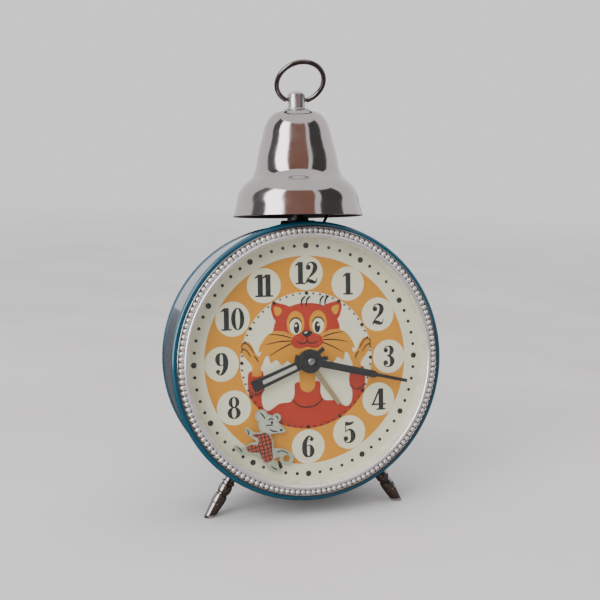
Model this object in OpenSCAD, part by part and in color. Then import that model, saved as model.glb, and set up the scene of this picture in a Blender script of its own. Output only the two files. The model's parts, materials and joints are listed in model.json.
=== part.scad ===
// Wind-up single-bell alarm clock with a cat dial and a mouse that rocks with the ticking.
// The parts are drawn in the clock's own frame: X to the right, Y from the dial towards the back,
// Z up, origin at the dial's centre. placed() then leans the clock back and stands it on Z = 0.

/* [Stance] */
// Angle that the clock leans back, degrees
lean = 7.5; // [5:0.5:9]
// Height of the dial's centre above the table
dial_height = 58.9; // [58.4:0.1:59.4]
// Shift along Y that centres the clock over its origin
centre_shift = -15.23; // [-16:0.01:-13]

/* [Case] */
// Outer radius of the drum's wall
drum_r = 51.6; // [51.4:0.1:51.8]
// Thickness of the drum's sheet metal
drum_wall = 1.0; // [0.8:0.1:1.0]
// Y of the front bead's centre
front_bead_y = -4.7; // [-4.8:0.1:-4.6]
// Radius of the front bead's section
front_bead_r = 1.4; // [1.3:0.1:1.4]
// Y of the rear bead's centre
rear_bead_y = 25.4; // [25.2:0.1:25.8]
// Radius of the rear bead's section
rear_bead_r = 1.6; // [1.4:0.1:1.6]

/* [Face] */
// Radius of the dial plate
dial_r = 49.6; // [49.0:0.1:50.0]
// Radius of the dial that shows inside the bezel
dial_view_r = 46.9; // [46.5:0.1:47.2]
// Height of the glass's dome
glass_rise = 2.2; // [1.8:0.1:2.4]
// Length of the minute hand
minute_length = 40.6; // [38:0.2:42]
// Length of the hour hand
hour_length = 24.0; // [22:0.2:25]
// Length of the alarm hand
alarm_length = 21.4; // [18:0.2:22]
// Direction of the minute hand, degrees from +X
minute_angle = -13.4; // [-14:0.1:-13]
// Direction of the hour hand, degrees from +X
hour_angle = 202; // [200:1:204]
// Direction of the alarm hand, degrees from +X
alarm_angle = -54.5; // [-58:0.5:-52]

/* [Bell] */
// Y of the bell's axis
bell_y = 10; // [9.8:0.1:10.2]
// Height of the bell's rim above the dial's centre
bell_rim_z = 55.6; // [55.4:0.1:56]
// Thickness of the bell's metal
bell_wall = 0.9; // [0.8:0.1:1.0]
// Mean radius of the carrying ring
ring_r = 9.2; // [9:0.1:9.4]
// Radius of the carrying ring's wire
ring_wire_r = 0.95; // [0.9:0.05:1.0]
// Angle that the ring leans forward from the bell's axis, degrees
ring_lean = 44; // [35:1:50]

/* [Legs] */
// Angle of the front legs from the drum's vertical, degrees
leg_splay = 31.3; // [31:0.1:31.6]
// Radius of a leg's thickest section
leg_r = 2.6; // [2.5:0.05:2.7]
// Radius of the rear foot
rear_foot_r = 3.0; // [2.8:0.1:3.0]

/* [Hidden] */
$fn = 64;

// Point at distance d from p in the direction a, in the plane of the dial
function at(p, d, a) = p + d * [cos(a), sin(a)];

// Fits
run = 0.05;             // radial clearance of a turning shaft
gap = 0.3;              // space left between parts of different bodies

// Layers along Y, from the front to the back
minute_hand_y = [-4.3, -3.7];
hour_hand_y = [-2.9, -2.3];
mouse_y = [-2.0, -1.6];
alarm_hand_y = [-1.4, -1.0];
dial_y = [0, 0.5];
ledge_y = [0.5, 1.5];
alarm_wheel_y = [0.9, 1.5];
hour_wheel_y = [1.9, 2.5];
cannon_y = [2.9, 3.7];
minute_wheel_y = [3.0, 3.6];
front_plate_y = [4, 5];
time_great_y = [6.0, 6.8];
time_click_y = [7.1, 7.8];
alarm_spring_y = [7.4, 14.6];
balance_y = [7.2, 8.7];
centre_wheel_y = [8.3, 8.9];
time_spring_y = [9.6, 18.0];
third_wheel_y = [11.5, 12.0];
hammer_arm_y = 12;
roller_y = [14.3, 14.9];
fourth_wheel_y = [14.5, 15.0];
alarm_click_y = [15.1, 15.8];
pallet_y = [15.6, 16.2];
alarm_great_y = [16.3, 17.1];
escape_y = [16.6, 17.1];
alarm_escape_y = [17.5, 18.1];
hairspring_y = [17.6, 18.2];
back_plate_y = [19, 20];
cover_y = [25.0, 25.8];
knob_y = [28.0, 33.0];

// Shafts
centre_arbor_r = 0.9;
train_arbor_r = 0.6;
winding_arbor_r = 1.6;
set_arbor_r = 1.1;
hand_pipe_r = 1.6;      // outside of the cannon pinion's pipe
hour_pipe_r = 2.3;      // outside of the hour wheel's pipe
alarm_pipe_r = 3.0;     // outside of the alarm wheel's pipe

// Gear trains: teeth and modules
great_teeth = 60;
centre_pinion_teeth = 10;
great_module = 0.72;
centre_teeth = 60;
third_pinion_teeth = 8;
centre_module = 0.4;
third_teeth = 64;
fourth_pinion_teeth = 8;
third_module = 0.35;
fourth_teeth = 60;
escape_pinion_teeth = 6;
fourth_module = 0.35;
escape_teeth = 15;
escape_r = 6.5;
cannon_teeth = 12;
minute_teeth = 36;
minute_pinion_teeth = 10;
hour_teeth = 40;
cannon_module = 0.45;
hour_module = cannon_module * (cannon_teeth + minute_teeth) / (minute_pinion_teeth + hour_teeth);
alarm_wheel_teeth = 48;
alarm_set_teeth = 12;
alarm_set_module = 0.5;
alarm_great_teeth = 60;
alarm_pinion_teeth = 8;
alarm_great_module = 0.6;
alarm_escape_r = 7.0;

// Distance between the arbors of two wheels in mesh
function mesh_distance(a, b, m) = (a + b) * m / 2;

// Arbor positions [x, z], with the direction of each mesh
centre = [0, 0];
great_angle = 118;
third_angle = 205;
fourth_angle = 250;
escape_angle = 300;
pallet_angle = 221;
balance_angle = 335;
minute_wheel_angle = 60;
alarm_set_angle = 10;
regulator_angle = 100;
alarm_escape_angle = 75;
verge_angle = 85;
great_at = at(centre, mesh_distance(great_teeth, centre_pinion_teeth, great_module), great_angle);
third_at = at(centre, mesh_distance(centre_teeth, third_pinion_teeth, centre_module), third_angle);
fourth_at = at(third_at, mesh_distance(third_teeth, fourth_pinion_teeth, third_module), fourth_angle);
escape_at = at(fourth_at, mesh_distance(fourth_teeth, escape_pinion_teeth, fourth_module),
               escape_angle);
pallet_at = at(escape_at, 8.6, pallet_angle);
balance_at = at(pallet_at, 12, balance_angle);
minute_wheel_at = at(centre, mesh_distance(cannon_teeth, minute_teeth, cannon_module),
                     minute_wheel_angle);
alarm_set_at = at(centre, mesh_distance(alarm_wheel_teeth, alarm_set_teeth, alarm_set_module),
                  alarm_set_angle);
alarm_great_at = [18.2, -21.5];
alarm_escape_at = at(alarm_great_at,
                     mesh_distance(alarm_great_teeth, alarm_pinion_teeth, alarm_great_module),
                     alarm_escape_angle);
verge_at = at(alarm_escape_at, 9.2, verge_angle);
stop_at = [6.0, 38.5];

// Movement frame
plate_r = 43.5;
pillar_r = 2.0;
pillar_spots = [[-36, 2], [24, 32], [-31, -26], [36, 3], [8, -40]];
post_r = 2.2;
post_spots = [at(centre, 40.5, 20), at(centre, 40.5, 160), at(centre, 40.5, 290)];
screw_r = 1.2;
dial_foot_r = 1.0;
dial_foot_spots = [at(centre, 41, 40), at(centre, 41, 158), at(centre, 41, 300)];

// Mainsprings
spring_core_r = 3.2;
time_spring_r = 15.5;
alarm_spring_r = 15.0;
ratchet_r = 6.4;
ratchet_teeth = 16;
click_reach = 8.6;      // distance of a click's pivot from its winding arbor
time_click_angle = 200;
alarm_click_angle = 20;

// Hub, knobs and keys
hub_r = 4.6;
pin_r = 1.35;
set_knob_r = 5.5;
key_span = 12.5;        // half the width of a winding key
key_thick = 1.6;

// Bell and its fixings
post_core_r = 1.6;      // threaded top of the post
bell_post_r = 2.4;
washer_h = 2.2;         // washer on the drum's top, under the bell's post
bell_height = 41;
finial_r = 3.4;
finial_z = bell_rim_z + bell_height;
finial_height = 7.3;
ring_axis_z = finial_z + 4.1;
ring_pin_r = 0.8;
ring_gap = 4.7;         // half the opening of the ring at the finial

// Hammer
rod_r = 0.6;
rod_bend = [8.2, 47.5];
rod_slot = [11.2, 52.4];
rod_top = [16.9, 63.5];
head_r = 2.4;

// Legs
leg_base = [28.4, -42.4];
leg_stud_r = 1.75;
leg_y = 4.5;
rear_foot_y = 24.6;
nut_r = 3.4;

// Places every part on the table, leaning back
module placed() {
    translate([0, centre_shift, dial_height]) rotate([-lean, 0, 0]) children();
}

// A flat part: a shape drawn as seen from the front, filling y[0] to y[1]
module slab(y) {
    translate([0, y[1], 0]) rotate([90, 0, 0]) linear_extrude(y[1] - y[0]) children();
}

// A round bar along Y at p, filling y[0] to y[1]
module bar(p, r, y) {
    translate([p[0], y[1], p[1]]) rotate([90, 0, 0]) cylinder(r = r, h = y[1] - y[0]);
}

// A body of revolution about the Y axis through p, from a [radius, y] outline
module turned(p = [0, 0]) {
    translate([p[0], 0, p[1]]) rotate([-90, 0, 0]) rotate_extrude($fn = 128) children();
}

// A round bar between two points
module strut(a, b, r) {
    d = b - a;
    translate(a) rotate([0, acos(d[2] / norm(d)), atan2(d[1], d[0])]) cylinder(r = r, h = norm(d));
}

// Smooth curve (Catmull-Rom) through points, closed or open, with n steps between two points
function spline(p0, p1, p2, p3, t) =
    0.5 * (2 * p1 + (p2 - p0) * t + (2 * p0 - 5 * p1 + 4 * p2 - p3) * t * t
           + (3 * p1 - p0 - 3 * p2 + p3) * t * t * t);
function closed_curve(p, n) = let (k = len(p))
    [for (i = [0 : k - 1], j = [0 : n - 1])
        spline(p[(i + k - 1) % k], p[i], p[(i + 1) % k], p[(i + 2) % k], j / n)];
function open_curve(p, n) = let (k = len(p) - 1)
    concat([for (i = [0 : k - 1], j = [0 : n - 1])
        spline(p[max(i - 1, 0)], p[i], p[i + 1], p[min(i + 2, k)], j / n)], [p[k]]);

// Gear outline with straight-sided teeth. A tooth, or a gap, points towards the angle "toward".
// leaf: true for the thin leaves of a pinion, false for the teeth of a wheel.
module gear(teeth, m, toward, leaf = false, on_gap = false) {
    pitch = 360 / teeth;
    root_r = teeth * m / 2 - (leaf ? 1.15 : 1.0) * m;
    tip_r = teeth * m / 2 + (leaf ? 0.6 : 0.8) * m;
    root_half = (leaf ? 0.15 : 0.24) * pitch;
    tip_half = (leaf ? 0.08 : 0.10) * pitch;
    first = toward + (on_gap ? pitch / 2 : 0);
    polygon([for (i = [0 : teeth - 1], c = [[root_r, -root_half], [tip_r, -tip_half],
                                            [tip_r, tip_half], [root_r, root_half]])
        at([0, 0], c[0], first + i * pitch + c[1])]);
}

// Wheel with crossings: rim, arms and hub, with teeth outside
module spoked(rim_r, hub, arms) {
    difference() {
        children();
        difference() {
            circle(r = rim_r);
            circle(r = hub);
            for (i = [0 : arms - 1]) {
                rotate(i * 360 / arms + 20) translate([0, -0.9]) square([rim_r + 1, 1.8]);
            }
        }
    }
}

// Ring of pointed teeth, for ratchets and escape wheels; hook leans the points
module pointed_wheel(teeth, tip_r, root_r, hook) {
    polygon([for (i = [0 : teeth - 1], c = [[root_r, 0], [tip_r, hook], [tip_r, hook + 3]])
        at([0, 0], c[0], (i + c[1] / 24) * 360 / teeth)]);
}

// Flat spiral strip from radius r0 to r1, as the outline of a coiled spring
module spiral(r0, r1, turns, thick, steps = 20) {
    n = turns * steps;
    function radius(i) = r0 + (r1 - r0) * i / n;
    outer = [for (i = [0 : n]) at([0, 0], radius(i) + thick / 2, i * 360 / steps)];
    inner = [for (i = [n : -1 : 0]) at([0, 0], radius(i) - thick / 2, i * 360 / steps)];
    polygon(concat(outer, inner));
}

// Moves a shape drawn about an arbor to that arbor
module about(p) {
    translate([p[0], p[1]]) children();
}

// ---- Case, bezel, glass and dial ----

// Everything within the drum's outer surface, used to seat parts on it
module drum_envelope() {
    turned() union() {
        translate([0, front_bead_y]) square([drum_r, rear_bead_y - front_bead_y]);
        translate([drum_r - 1.1, rear_bead_y]) circle(r = rear_bead_r);
        translate([drum_r + 0.3, front_bead_y]) circle(r = front_bead_r);
    }
}

module case_drum() {
    wall_in = drum_r - drum_wall;
    color("#28607c") placed() difference() {
        turned() union() {
            translate([wall_in, front_bead_y]) square([drum_wall, rear_bead_y - front_bead_y]);
            translate([drum_r + 0.3, front_bead_y]) circle(r = front_bead_r);
            translate([drum_r - 1.1, rear_bead_y]) circle(r = rear_bead_r);
            translate([44, ledge_y[0]]) square([wall_in - 43.5, ledge_y[1] - ledge_y[0]]);
        }
        // Holes for the bell post, the hammer rod, the legs and the rear foot
        translate([0, bell_y, drum_r - 4]) cylinder(r = bell_post_r, h = 8);
        translate([rod_slot[0] - 5, hammer_arm_y - 1.6, drum_r - 5]) cube([9.6, 3.2, 8]);
        for (side = [-1, 1]) leg_axis(side) translate([0, 0, -5]) cylinder(r = leg_stud_r, h = 8);
    }
}

module bezel_ring() {
    back = front_bead_y - front_bead_r;
    color("#d9dade") placed() turned() union() {
        translate([47.5, back - 0.5]) square([3.9, 0.5]);
        translate([48.7, back - 0.1]) square([1.7, 5.6]);
        translate([49.7, back - 0.4]) circle(r = 0.8);
        translate([48.1, back - 0.75]) circle(r = 0.7);
    }
}

// Half-section of the domed glass: two arcs of a large circle
module crystal() {
    rim_r = 48.6;
    front = front_bead_y - front_bead_r;
    thick = 1.0;
    steps = 12;
    view_r = 47.4;
    big_r = (view_r * view_r + glass_rise * glass_rise) / (2 * glass_rise);
    function dome(r) = sqrt(big_r * big_r - r * r) - (big_r - glass_rise);
    radii = [for (i = [0 : steps]) view_r * i / steps];
    color("#e8f0f2", 0.3) placed() turned() polygon(concat(
        [for (r = radii) [r, front - dome(r)]],
        [[rim_r, front], [rim_r, front + thick]],
        [for (i = [steps : -1 : 0]) [radii[i], front + thick - dome(radii[i])]]));
}

module glass_retainer() {
    top = front_bead_y - front_bead_r + 1.0;
    color("#cfd0cc") placed() turned() polygon([
        [48.6, top], [47.6, top], [dial_view_r, 0], [48.6, 0]]);
}

module dial_plate() {
    color("#d6b060") placed() difference() {
        union() {
            bar(centre, dial_r, dial_y);
            for (p = dial_foot_spots) bar(p, dial_foot_r, [dial_y[0] + 0.2, front_plate_y[1]]);
        }
        bar(centre, alarm_pipe_r + gap, [-1, 1]);
        bar(pallet_at, 2.0, [-1, 1]);
        // Slot by the mouse's foot
        slab([-1, 1]) translate([-11.4, -39.6]) rotate(20) square([1.5, 3.6], center = true);
    }
}

// ---- Hands ----

module minute_hand() {
    wide = 1.4;
    narrow = 0.65;
    tail = 6.2;
    shoulder = minute_length * 0.66;
    color("#16181a") placed() difference() {
        union() {
            slab(minute_hand_y) rotate(minute_angle) polygon([
                [-tail, -wide], [shoulder, -wide], [shoulder + 1.2, -narrow],
                [minute_length, -narrow], [minute_length, narrow], [shoulder + 1.2, narrow],
                [shoulder, wide], [-tail, wide]]);
            turned() polygon([
                [0, minute_hand_y[1]], [hub_r, minute_hand_y[1]], [hub_r, -4.6], [4.1, -5.0],
                [3.3, -5.0], [3.0, -4.7], [2.4, -4.7], [2.1, -5.2], [0, -5.2]]);
        }
        bar(centre, hand_pipe_r, [-4.8, -3]);
        bar(centre, pin_r, [-6, -4.8]);
    }
}

module hand_cap() {
    color("#b9bcc0") placed() turned() polygon([
        [0, -4.8], [pin_r, -4.8], [pin_r, -5.6], [0.9, -5.9], [0, -6.0]]);
}

module hour_hand() {
    root = 1.7;
    tip = 2.2;
    tail = 7.5;
    color("#16181a") placed() difference() {
        slab(hour_hand_y) difference() {
            union() {
                circle(r = 4.2);
                rotate(hour_angle) polygon([
                    [0, -root], [hour_length, -tip], [hour_length, tip], [0, root]]);
                for (side = [-1, 1]) {
                    rotate(hour_angle + 180 + side * 16) translate([0, -0.8]) square([tail, 1.6]);
                }
            }
            // Slot that holds the pale inlay
            rotate(hour_angle) translate([5.4, -0.85]) square([hour_length - 9.6, 1.7]);
        }
        bar(centre, hour_pipe_r, [-4, -1]);
    }
}

module alarm_hand() {
    half = 0.75;
    color("#b59a62") placed() difference() {
        slab(alarm_hand_y) union() {
            circle(r = 4.2);
            rotate(alarm_angle) polygon([
                [0, -half - 0.3], [alarm_length, -half], [alarm_length, half], [0, half + 0.3]]);
        }
        bar(centre, alarm_pipe_r, [-2, 1]);
    }
}

// ---- Mouse ----

// Closed outlines of the mouse, each running counter-clockwise through its own few points
mouse_body = [[-19.4, -26.2], [-20.8, -28.2], [-21.2, -31.0], [-20.6, -34.2], [-19.2, -36.8],
              [-17.4, -38.6], [-14.9, -37.6], [-14.4, -33.6], [-14.6, -29.6], [-16.6, -26.4]];
mouse_head = [[-18.6, -20.4], [-20.1, -22.4], [-19.9, -25.0], [-17.6, -27.1], [-13.4, -27.2],
              [-9.9, -26.9], [-10.0, -25.6], [-12.8, -22.4], [-15.4, -19.9]];
mouse_arm = [[-19.2, -26.6], [-21.8, -26.2], [-24.2, -24.2], [-25.2, -24.8], [-25.0, -26.4],
             [-22.6, -28.4], [-19.6, -29.6]];
mouse_leg = [[-20.0, -30.6], [-23.6, -30.2], [-26.4, -31.8], [-29.0, -30.6], [-29.6, -31.6],
             [-27.4, -34.0], [-24.2, -34.2], [-20.4, -34.8]];
mouse_foot = [[-17.4, -36.6], [-17.2, -39.0], [-15.4, -41.4], [-12.2, -42.2], [-11.6, -41.2],
              [-14.0, -39.4], [-14.9, -36.4]];
mouse_tail_root = [[-16.0, -33.4], [-15.6, -37.2], [-12.4, -36.2], [-9.4, -36.4], [-7.0, -36.6],
                   [-8.4, -34.4], [-12.4, -32.9]];

module mouse_figure() {
    n = 4;
    color("#a9ab9c") placed() difference() {
        slab(mouse_y) difference() {
            union() {
                for (outline = [mouse_body, mouse_head, mouse_arm, mouse_leg, mouse_foot,
                                mouse_tail_root]) {
                    polygon(closed_curve(outline, n));
                }
                translate([-18.9, -20.2]) circle(r = 2.5);
                translate([-13.0, -21.2]) circle(r = 1.7);
                translate([-9.3, -37.0]) circle(r = 2.7);
            }
            translate([-9.3, -37.0]) circle(r = 1.35);
        }
        bar(pallet_at, train_arbor_r, [-3, 0]);
    }
}

module pallet_arbor() {
    color("#c8a24a") placed() union() {
        bar(pallet_at, train_arbor_r, [mouse_y[0] - 0.3, back_plate_y[1] - 0.1]);
        bar(pallet_at, 1.1, [mouse_y[0] - 0.5, mouse_y[0]]);
        bar(pallet_at, 1.2, [mouse_y[1], -0.6]);
    }
}

module pallet_lever() {
    pin_spread = 35;
    pin_path = escape_r + 1.1;
    lever_pin_r = 0.35;
    toward_pallet = pallet_angle;
    fork_end = 9.0;
    color("#a8a39a") placed() difference() {
        union() {
            slab(pallet_y) union() {
                about(pallet_at) circle(r = 1.8);
                about(pallet_at) rotate(balance_angle) difference() {
                    translate([0, -0.8]) square([fork_end, 1.6]);
                    translate([fork_end - 1.4, -0.3]) square([3, 0.6]);
                }
                for (side = [-1, 1]) {
                    pin_at = at(escape_at, pin_path, toward_pallet + side * pin_spread);
                    about(pin_at) circle(r = 0.8);
                    arm = pin_at - pallet_at;
                    about(pallet_at) rotate(atan2(arm[1], arm[0]))
                        translate([0, -0.7]) square([norm(arm), 1.4]);
                }
            }
            for (side = [-1, 1]) {
                bar(at(escape_at, pin_path, toward_pallet + side * pin_spread), lever_pin_r,
                    [pallet_y[0], escape_y[1] + 0.3]);
            }
        }
        bar(pallet_at, train_arbor_r, [10, 19]);
    }
}

// ---- Legs and feet ----

// Frame of a front leg: origin where it leaves the drum, Z along the leg's axis, outwards
module leg_axis(side) {
    translate([side * leg_base[0], leg_y, leg_base[1]]) rotate([0, side * (180 - leg_splay), 0])
        children();
}

module leg(side) {
    difference() {
        placed() difference() {
            leg_axis(side) union() {
                translate([0, 0, -4.5]) cylinder(r = leg_stud_r, h = 5);
                rotate_extrude() polygon([
                    [0, -0.4], [leg_r, -0.4], [leg_r, 0.9], [leg_r - 0.5, 1.3],
                    [leg_r - 0.5, 3.9], [leg_r, 4.2], [leg_r, 4.8], [leg_r - 0.6, 5.2],
                    [leg_r - 0.2, 5.7], [leg_r, 6.9], [leg_r - 0.15, 8.3], [leg_r - 0.6, 9.0],
                    [leg_r - 0.6, 9.4], [leg_r - 0.2, 9.8], [leg_r, 11.0], [leg_r - 0.1, 13.0],
                    [leg_r - 0.3, 13.3], [leg_r - 0.2, 13.6], [1.9, 18.6], [1.7, 20.6],
                    [0, 20.6]]);
            }
            // Seat on the round drum
            difference() {
                drum_envelope();
                leg_axis(side) translate([0, 0, -6]) cylinder(r = leg_stud_r, h = 7);
            }
        }
        // The tip is cut flat where it stands on the table
        translate([-100, -100, -20]) cube([200, 200, 20]);
    }
}

module leg_left() {
    color("#b4b6ba") leg(-1);
}

module leg_right() {
    color("#b4b6ba") leg(1);
}

module rear_foot() {
    color("#8f9296") difference() {
        placed() difference() {
            translate([0, rear_foot_y, -60]) cylinder(r = rear_foot_r, h = 60 - drum_r + 2);
            drum_envelope();
            bar(centre, 45, [20, 30]);
        }
        translate([-100, -100, -20]) cube([200, 200, 20]);
    }
}

// Nuts inside the drum that hold the two legs and the bell post
module inner_nuts() {
    inside = drum_r - drum_wall;
    color("#a39a78") placed() union() {
        for (side = [-1, 1]) {
            leg_axis(side) translate([0, 0, -4.4]) difference() {
                cylinder(r = nut_r, h = 2.4, $fn = 6);
                translate([0, 0, -1]) cylinder(r = leg_stud_r, h = 5);
            }
        }
        translate([0, bell_y, inside - 3.0]) difference() {
            cylinder(r = nut_r, h = 2.4, $fn = 6);
            translate([0, 0, -1]) cylinder(r = bell_post_r - 0.4, h = 5);
        }
    }
}

// ---- Bell ----

// Outside of the bell, [radius, height above the rim], from the lip to the crown
bell_points = [[25.4, 0], [24.1, 4.5], [23.1, 8.9], [20.8, 12.3], [17.7, 15.2], [16.3, 18.6],
               [15.2, 24.4], [13.7, 30.1], [12.1, 35.6], [9.5, 39.2], [5.6, 40.7], [2.0, 41]];

module bell() {
    outer = open_curve(bell_points, 3);
    inner = [for (i = [len(outer) - 1 : -1 : 0])
        [max(outer[i][0] - bell_wall, 1.0), max(outer[i][1] - bell_wall * outer[i][1] / 41, 0)]];
    color("#c9cacd") placed() translate([0, bell_y, bell_rim_z]) difference() {
        rotate_extrude($fn = 128) polygon(concat(outer, inner));
        translate([0, 0, 20]) cylinder(r = post_core_r, h = 30);
    }
}

module bell_post() {
    inside = drum_r - drum_wall;
    shoulder = bell_rim_z + bell_height - bell_wall - 0.2;
    color("#4a4c4e") placed() translate([0, bell_y, 0]) union() {
        translate([0, 0, inside - 3.4]) cylinder(r = bell_post_r - 0.4, h = 4);
        translate([0, 0, inside - 0.4]) cylinder(r = bell_post_r, h = shoulder - inside + 0.4);
        translate([0, 0, drum_r + washer_h]) cylinder(r = 4.2, h = 3.4 - washer_h);
        translate([0, 0, shoulder - 1]) cylinder(r = post_core_r, h = 4.3);
    }
}

module bell_washer() {
    color("#c4c6c8") placed() translate([0, bell_y, drum_r]) difference() {
        cylinder(r1 = 7.4, r2 = 6.6, h = washer_h);
        translate([0, 0, -1]) cylinder(r = bell_post_r, h = washer_h + 2);
    }
}

module finial() {
    color("#a9abae") placed() translate([0, bell_y, finial_z]) difference() {
        rotate_extrude() polygon(concat(
            [[0, 0], [finial_r, 0], [finial_r, finial_height - 1.6]],
            [for (a = [15 : 15 : 90]) [finial_r * cos(a), finial_height - 1.6 + 1.6 * sin(a)]]));
        translate([0, 0, -1]) cylinder(r = post_core_r, h = 3.4);
        translate([-5, 0, ring_axis_z - finial_z]) rotate([0, 90, 0])
            cylinder(r = ring_pin_r + run, h = 10);
    }
}

module carry_ring() {
    rise = sqrt(ring_r * ring_r - ring_gap * ring_gap);
    open = asin(ring_gap / ring_r);
    pin_in = 1.2;
    color("#8b8d90") placed() translate([0, bell_y, ring_axis_z]) rotate([ring_lean, 0, 0]) union() {
        translate([0, 0, rise]) rotate([90, 0, 0]) rotate([0, 0, -90 + open])
            rotate_extrude(angle = 360 - 2 * open) translate([ring_r, 0]) circle(r = ring_wire_r);
        for (side = [-1, 1]) {
            translate([side * ring_gap, 0, 0]) sphere(r = ring_wire_r + 0.05);
            translate([side * (pin_in + ring_gap) / 2, 0, 0]) rotate([0, 90, 0])
                cylinder(r = ring_pin_r, h = ring_gap - pin_in, center = true);
        }
    }
}

// ---- Alarm hammer ----

// The hammer's rod runs in one plane: [x, z] becomes [x, hammer_arm_y, z]
function in_plane(p) = [p[0], hammer_arm_y, p[1]];

module hammer_arm() {
    color("#8d8f92") placed() difference() {
        union() {
            strut(in_plane(verge_at), in_plane(rod_bend), rod_r);
            translate(in_plane(rod_bend)) sphere(r = rod_r + 0.05);
            strut(in_plane(rod_bend), in_plane(rod_top), rod_r);
            bar(verge_at, 2.2, [hammer_arm_y - 1.6, hammer_arm_y + 1.6]);
        }
        bar(verge_at, train_arbor_r, [5, 19]);
    }
}

module hammer_head() {
    color("#a7a9ab") placed() translate(in_plane(rod_top) - [2.5, 0, 0]) rotate([0, 90, 0])
        difference() {
            cylinder(r = head_r, h = 4.6);
            translate([0, 0, 2.5]) rotate([0, 90 + 27, 0]) cylinder(r = rod_r, h = 6);
        }
}

// Arbor with the two pallets that the alarm's escape wheel kicks
module alarm_verge() {
    reach = 50;
    color("#8a8374") placed() union() {
        bar(verge_at, train_arbor_r, [front_plate_y[0] + 0.1, back_plate_y[1] - 0.1]);
        slab(alarm_escape_y) union() {
            about(verge_at) circle(r = 1.8);
            for (side = [-1, 1]) {
                tip = at(alarm_escape_at, alarm_escape_r + 1.5, verge_angle + side * reach);
                arm = tip - verge_at;
                about(verge_at) rotate(atan2(arm[1], arm[0]))
                    translate([0, -0.7]) square([norm(arm), 1.4]);
                about(tip) circle(r = 0.9);
            }
        }
    }
}

// ---- Back ----

module back_cover() {
    slot_r = 11.5;
    color("#28607c") placed() difference() {
        bar(centre, drum_r - 2.8, cover_y);
        bar(centre, set_arbor_r + 0.9, [24, 27]);
        bar(alarm_set_at, set_arbor_r + 0.9, [24, 27]);
        for (p = [great_at, alarm_great_at]) bar(p, winding_arbor_r + 1.4, [24, 27]);
        for (p = post_spots) bar(p, screw_r, [24, 27]);
        bar(stop_at, 1.2 + gap, [24, 27]);
        // Curved slot for the regulator's tip
        slab([24, 27]) about(balance_at) difference() {
            circle(r = slot_r + 1.6);
            circle(r = slot_r - 1.6);
            rotate(regulator_angle - 31) translate([-20, -20]) square([40, 20]);
            rotate(regulator_angle + 31) translate([-20, 0]) square([40, 20]);
        }
    }
}

module cover_screws() {
    color("#b9bbbd") placed() for (p = post_spots) {
        difference() {
            union() {
                bar(p, screw_r, [back_plate_y[1] + 1, cover_y[1] + 0.5]);
                bar(p, 2.3, [cover_y[1], cover_y[1] + 1.1]);
            }
            slab([cover_y[1] + 0.6, cover_y[1] + 2]) about(p) rotate(30)
                square([6, 0.6], center = true);
        }
    }
}

module movement_posts() {
    color("#b08d3c") placed() for (p = post_spots) {
        difference() {
            bar(p, post_r, [back_plate_y[1], cover_y[0]]);
            bar(p, screw_r, [back_plate_y[1] + 1, cover_y[1]]);
        }
    }
}

// Winding key with two wings on a sleeve
module winding_key(p, turn) {
    lobe_r = 4.3;
    difference() {
        union() {
            bar(p, 2.7, [knob_y[0] - 1, knob_y[0] + 3]);
            translate([p[0], 0, p[1]]) rotate([0, turn, 0]) translate([0, knob_y[0] + 3.6, 0])
                rotate([0, 0, 90]) rotate([90, 0, 0]) translate([0, 0, -key_thick / 2])
                linear_extrude(key_thick) difference() {
                    union() {
                        for (side = [-1, 1]) {
                            translate([0, side * (key_span - lobe_r)]) circle(r = lobe_r);
                        }
                        translate([-2.4, lobe_r - key_span]) square([4.8, 2 * (key_span - lobe_r)]);
                    }
                    for (side = [-1, 1]) {
                        translate([0.6, side * (key_span - lobe_r)]) circle(r = 1.5);
                    }
                }
        }
        bar(p, winding_arbor_r, [20, knob_y[0] + 1.5]);
    }
}

module time_key() {
    color("#c2a24e") placed() winding_key(great_at, 70);
}

module alarm_key() {
    color("#c2a24e") placed() winding_key(alarm_great_at, 105);
}

// Milled setting knob
module set_knob(p, shaft) {
    ribs = 24;
    difference() {
        union() {
            slab([knob_y[0], knob_y[1] - 0.6]) about(p) polygon([
                for (i = [0 : 2 * ribs - 1]) at([0, 0], set_knob_r - (i % 2) * 0.45, i * 180 / ribs)]);
            bar(p, set_knob_r - 0.7, [knob_y[0], knob_y[1]]);
            bar(p, 2.2, [knob_y[0] - 1.2, knob_y[0]]);
        }
        bar(p, shaft, [20, knob_y[0] + 3]);
    }
}

module time_set_knob() {
    color("#b8964a") placed() set_knob(centre, centre_arbor_r);
}

module alarm_set_knob() {
    color("#b8964a") placed() set_knob(alarm_set_at, set_arbor_r);
}

module stop_button() {
    color("#d8d5cc") placed() union() {
        bar(stop_at, 1.2, [13.6, 30.4]);
        turned(stop_at) polygon([[0, 29.6], [3.2, 29.6], [3.2, 31.2], [2.6, 31.8], [0, 32.0]]);
        bar(stop_at, 1.9, [23.9, 24.6]);
    }
}

// Light return spring between the back plate and the button's collar
module stop_spring() {
    turns = 4;
    steps = 16;
    sides = 8;
    coil_r = 1.75;
    wire_r = 0.2;
    length = 3.4;
    n = turns * steps;
    function ring_point(i, j) =
        let (a = i * 360 / steps, b = j * 360 / sides, r = coil_r + wire_r * cos(b))
        [r * cos(a), length * i / n + wire_r * sin(b), r * sin(a)];
    function corner(i, j) = i * sides + j % sides;
    color("#9a9c9e") placed()
        translate([stop_at[0], back_plate_y[1] + 0.25, stop_at[1]]) polyhedron(
            points = [for (i = [0 : n], j = [0 : sides - 1]) ring_point(i, j)],
            faces = concat(
                [[for (j = [sides - 1 : -1 : 0]) j]],
                [for (i = [0 : n - 1], j = [0 : sides - 1])
                    [corner(i, j), corner(i, j + 1), corner(i + 1, j + 1), corner(i + 1, j)]],
                [[for (j = [0 : sides - 1]) n * sides + j]]));
}

// ---- Movement frame ----

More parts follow.
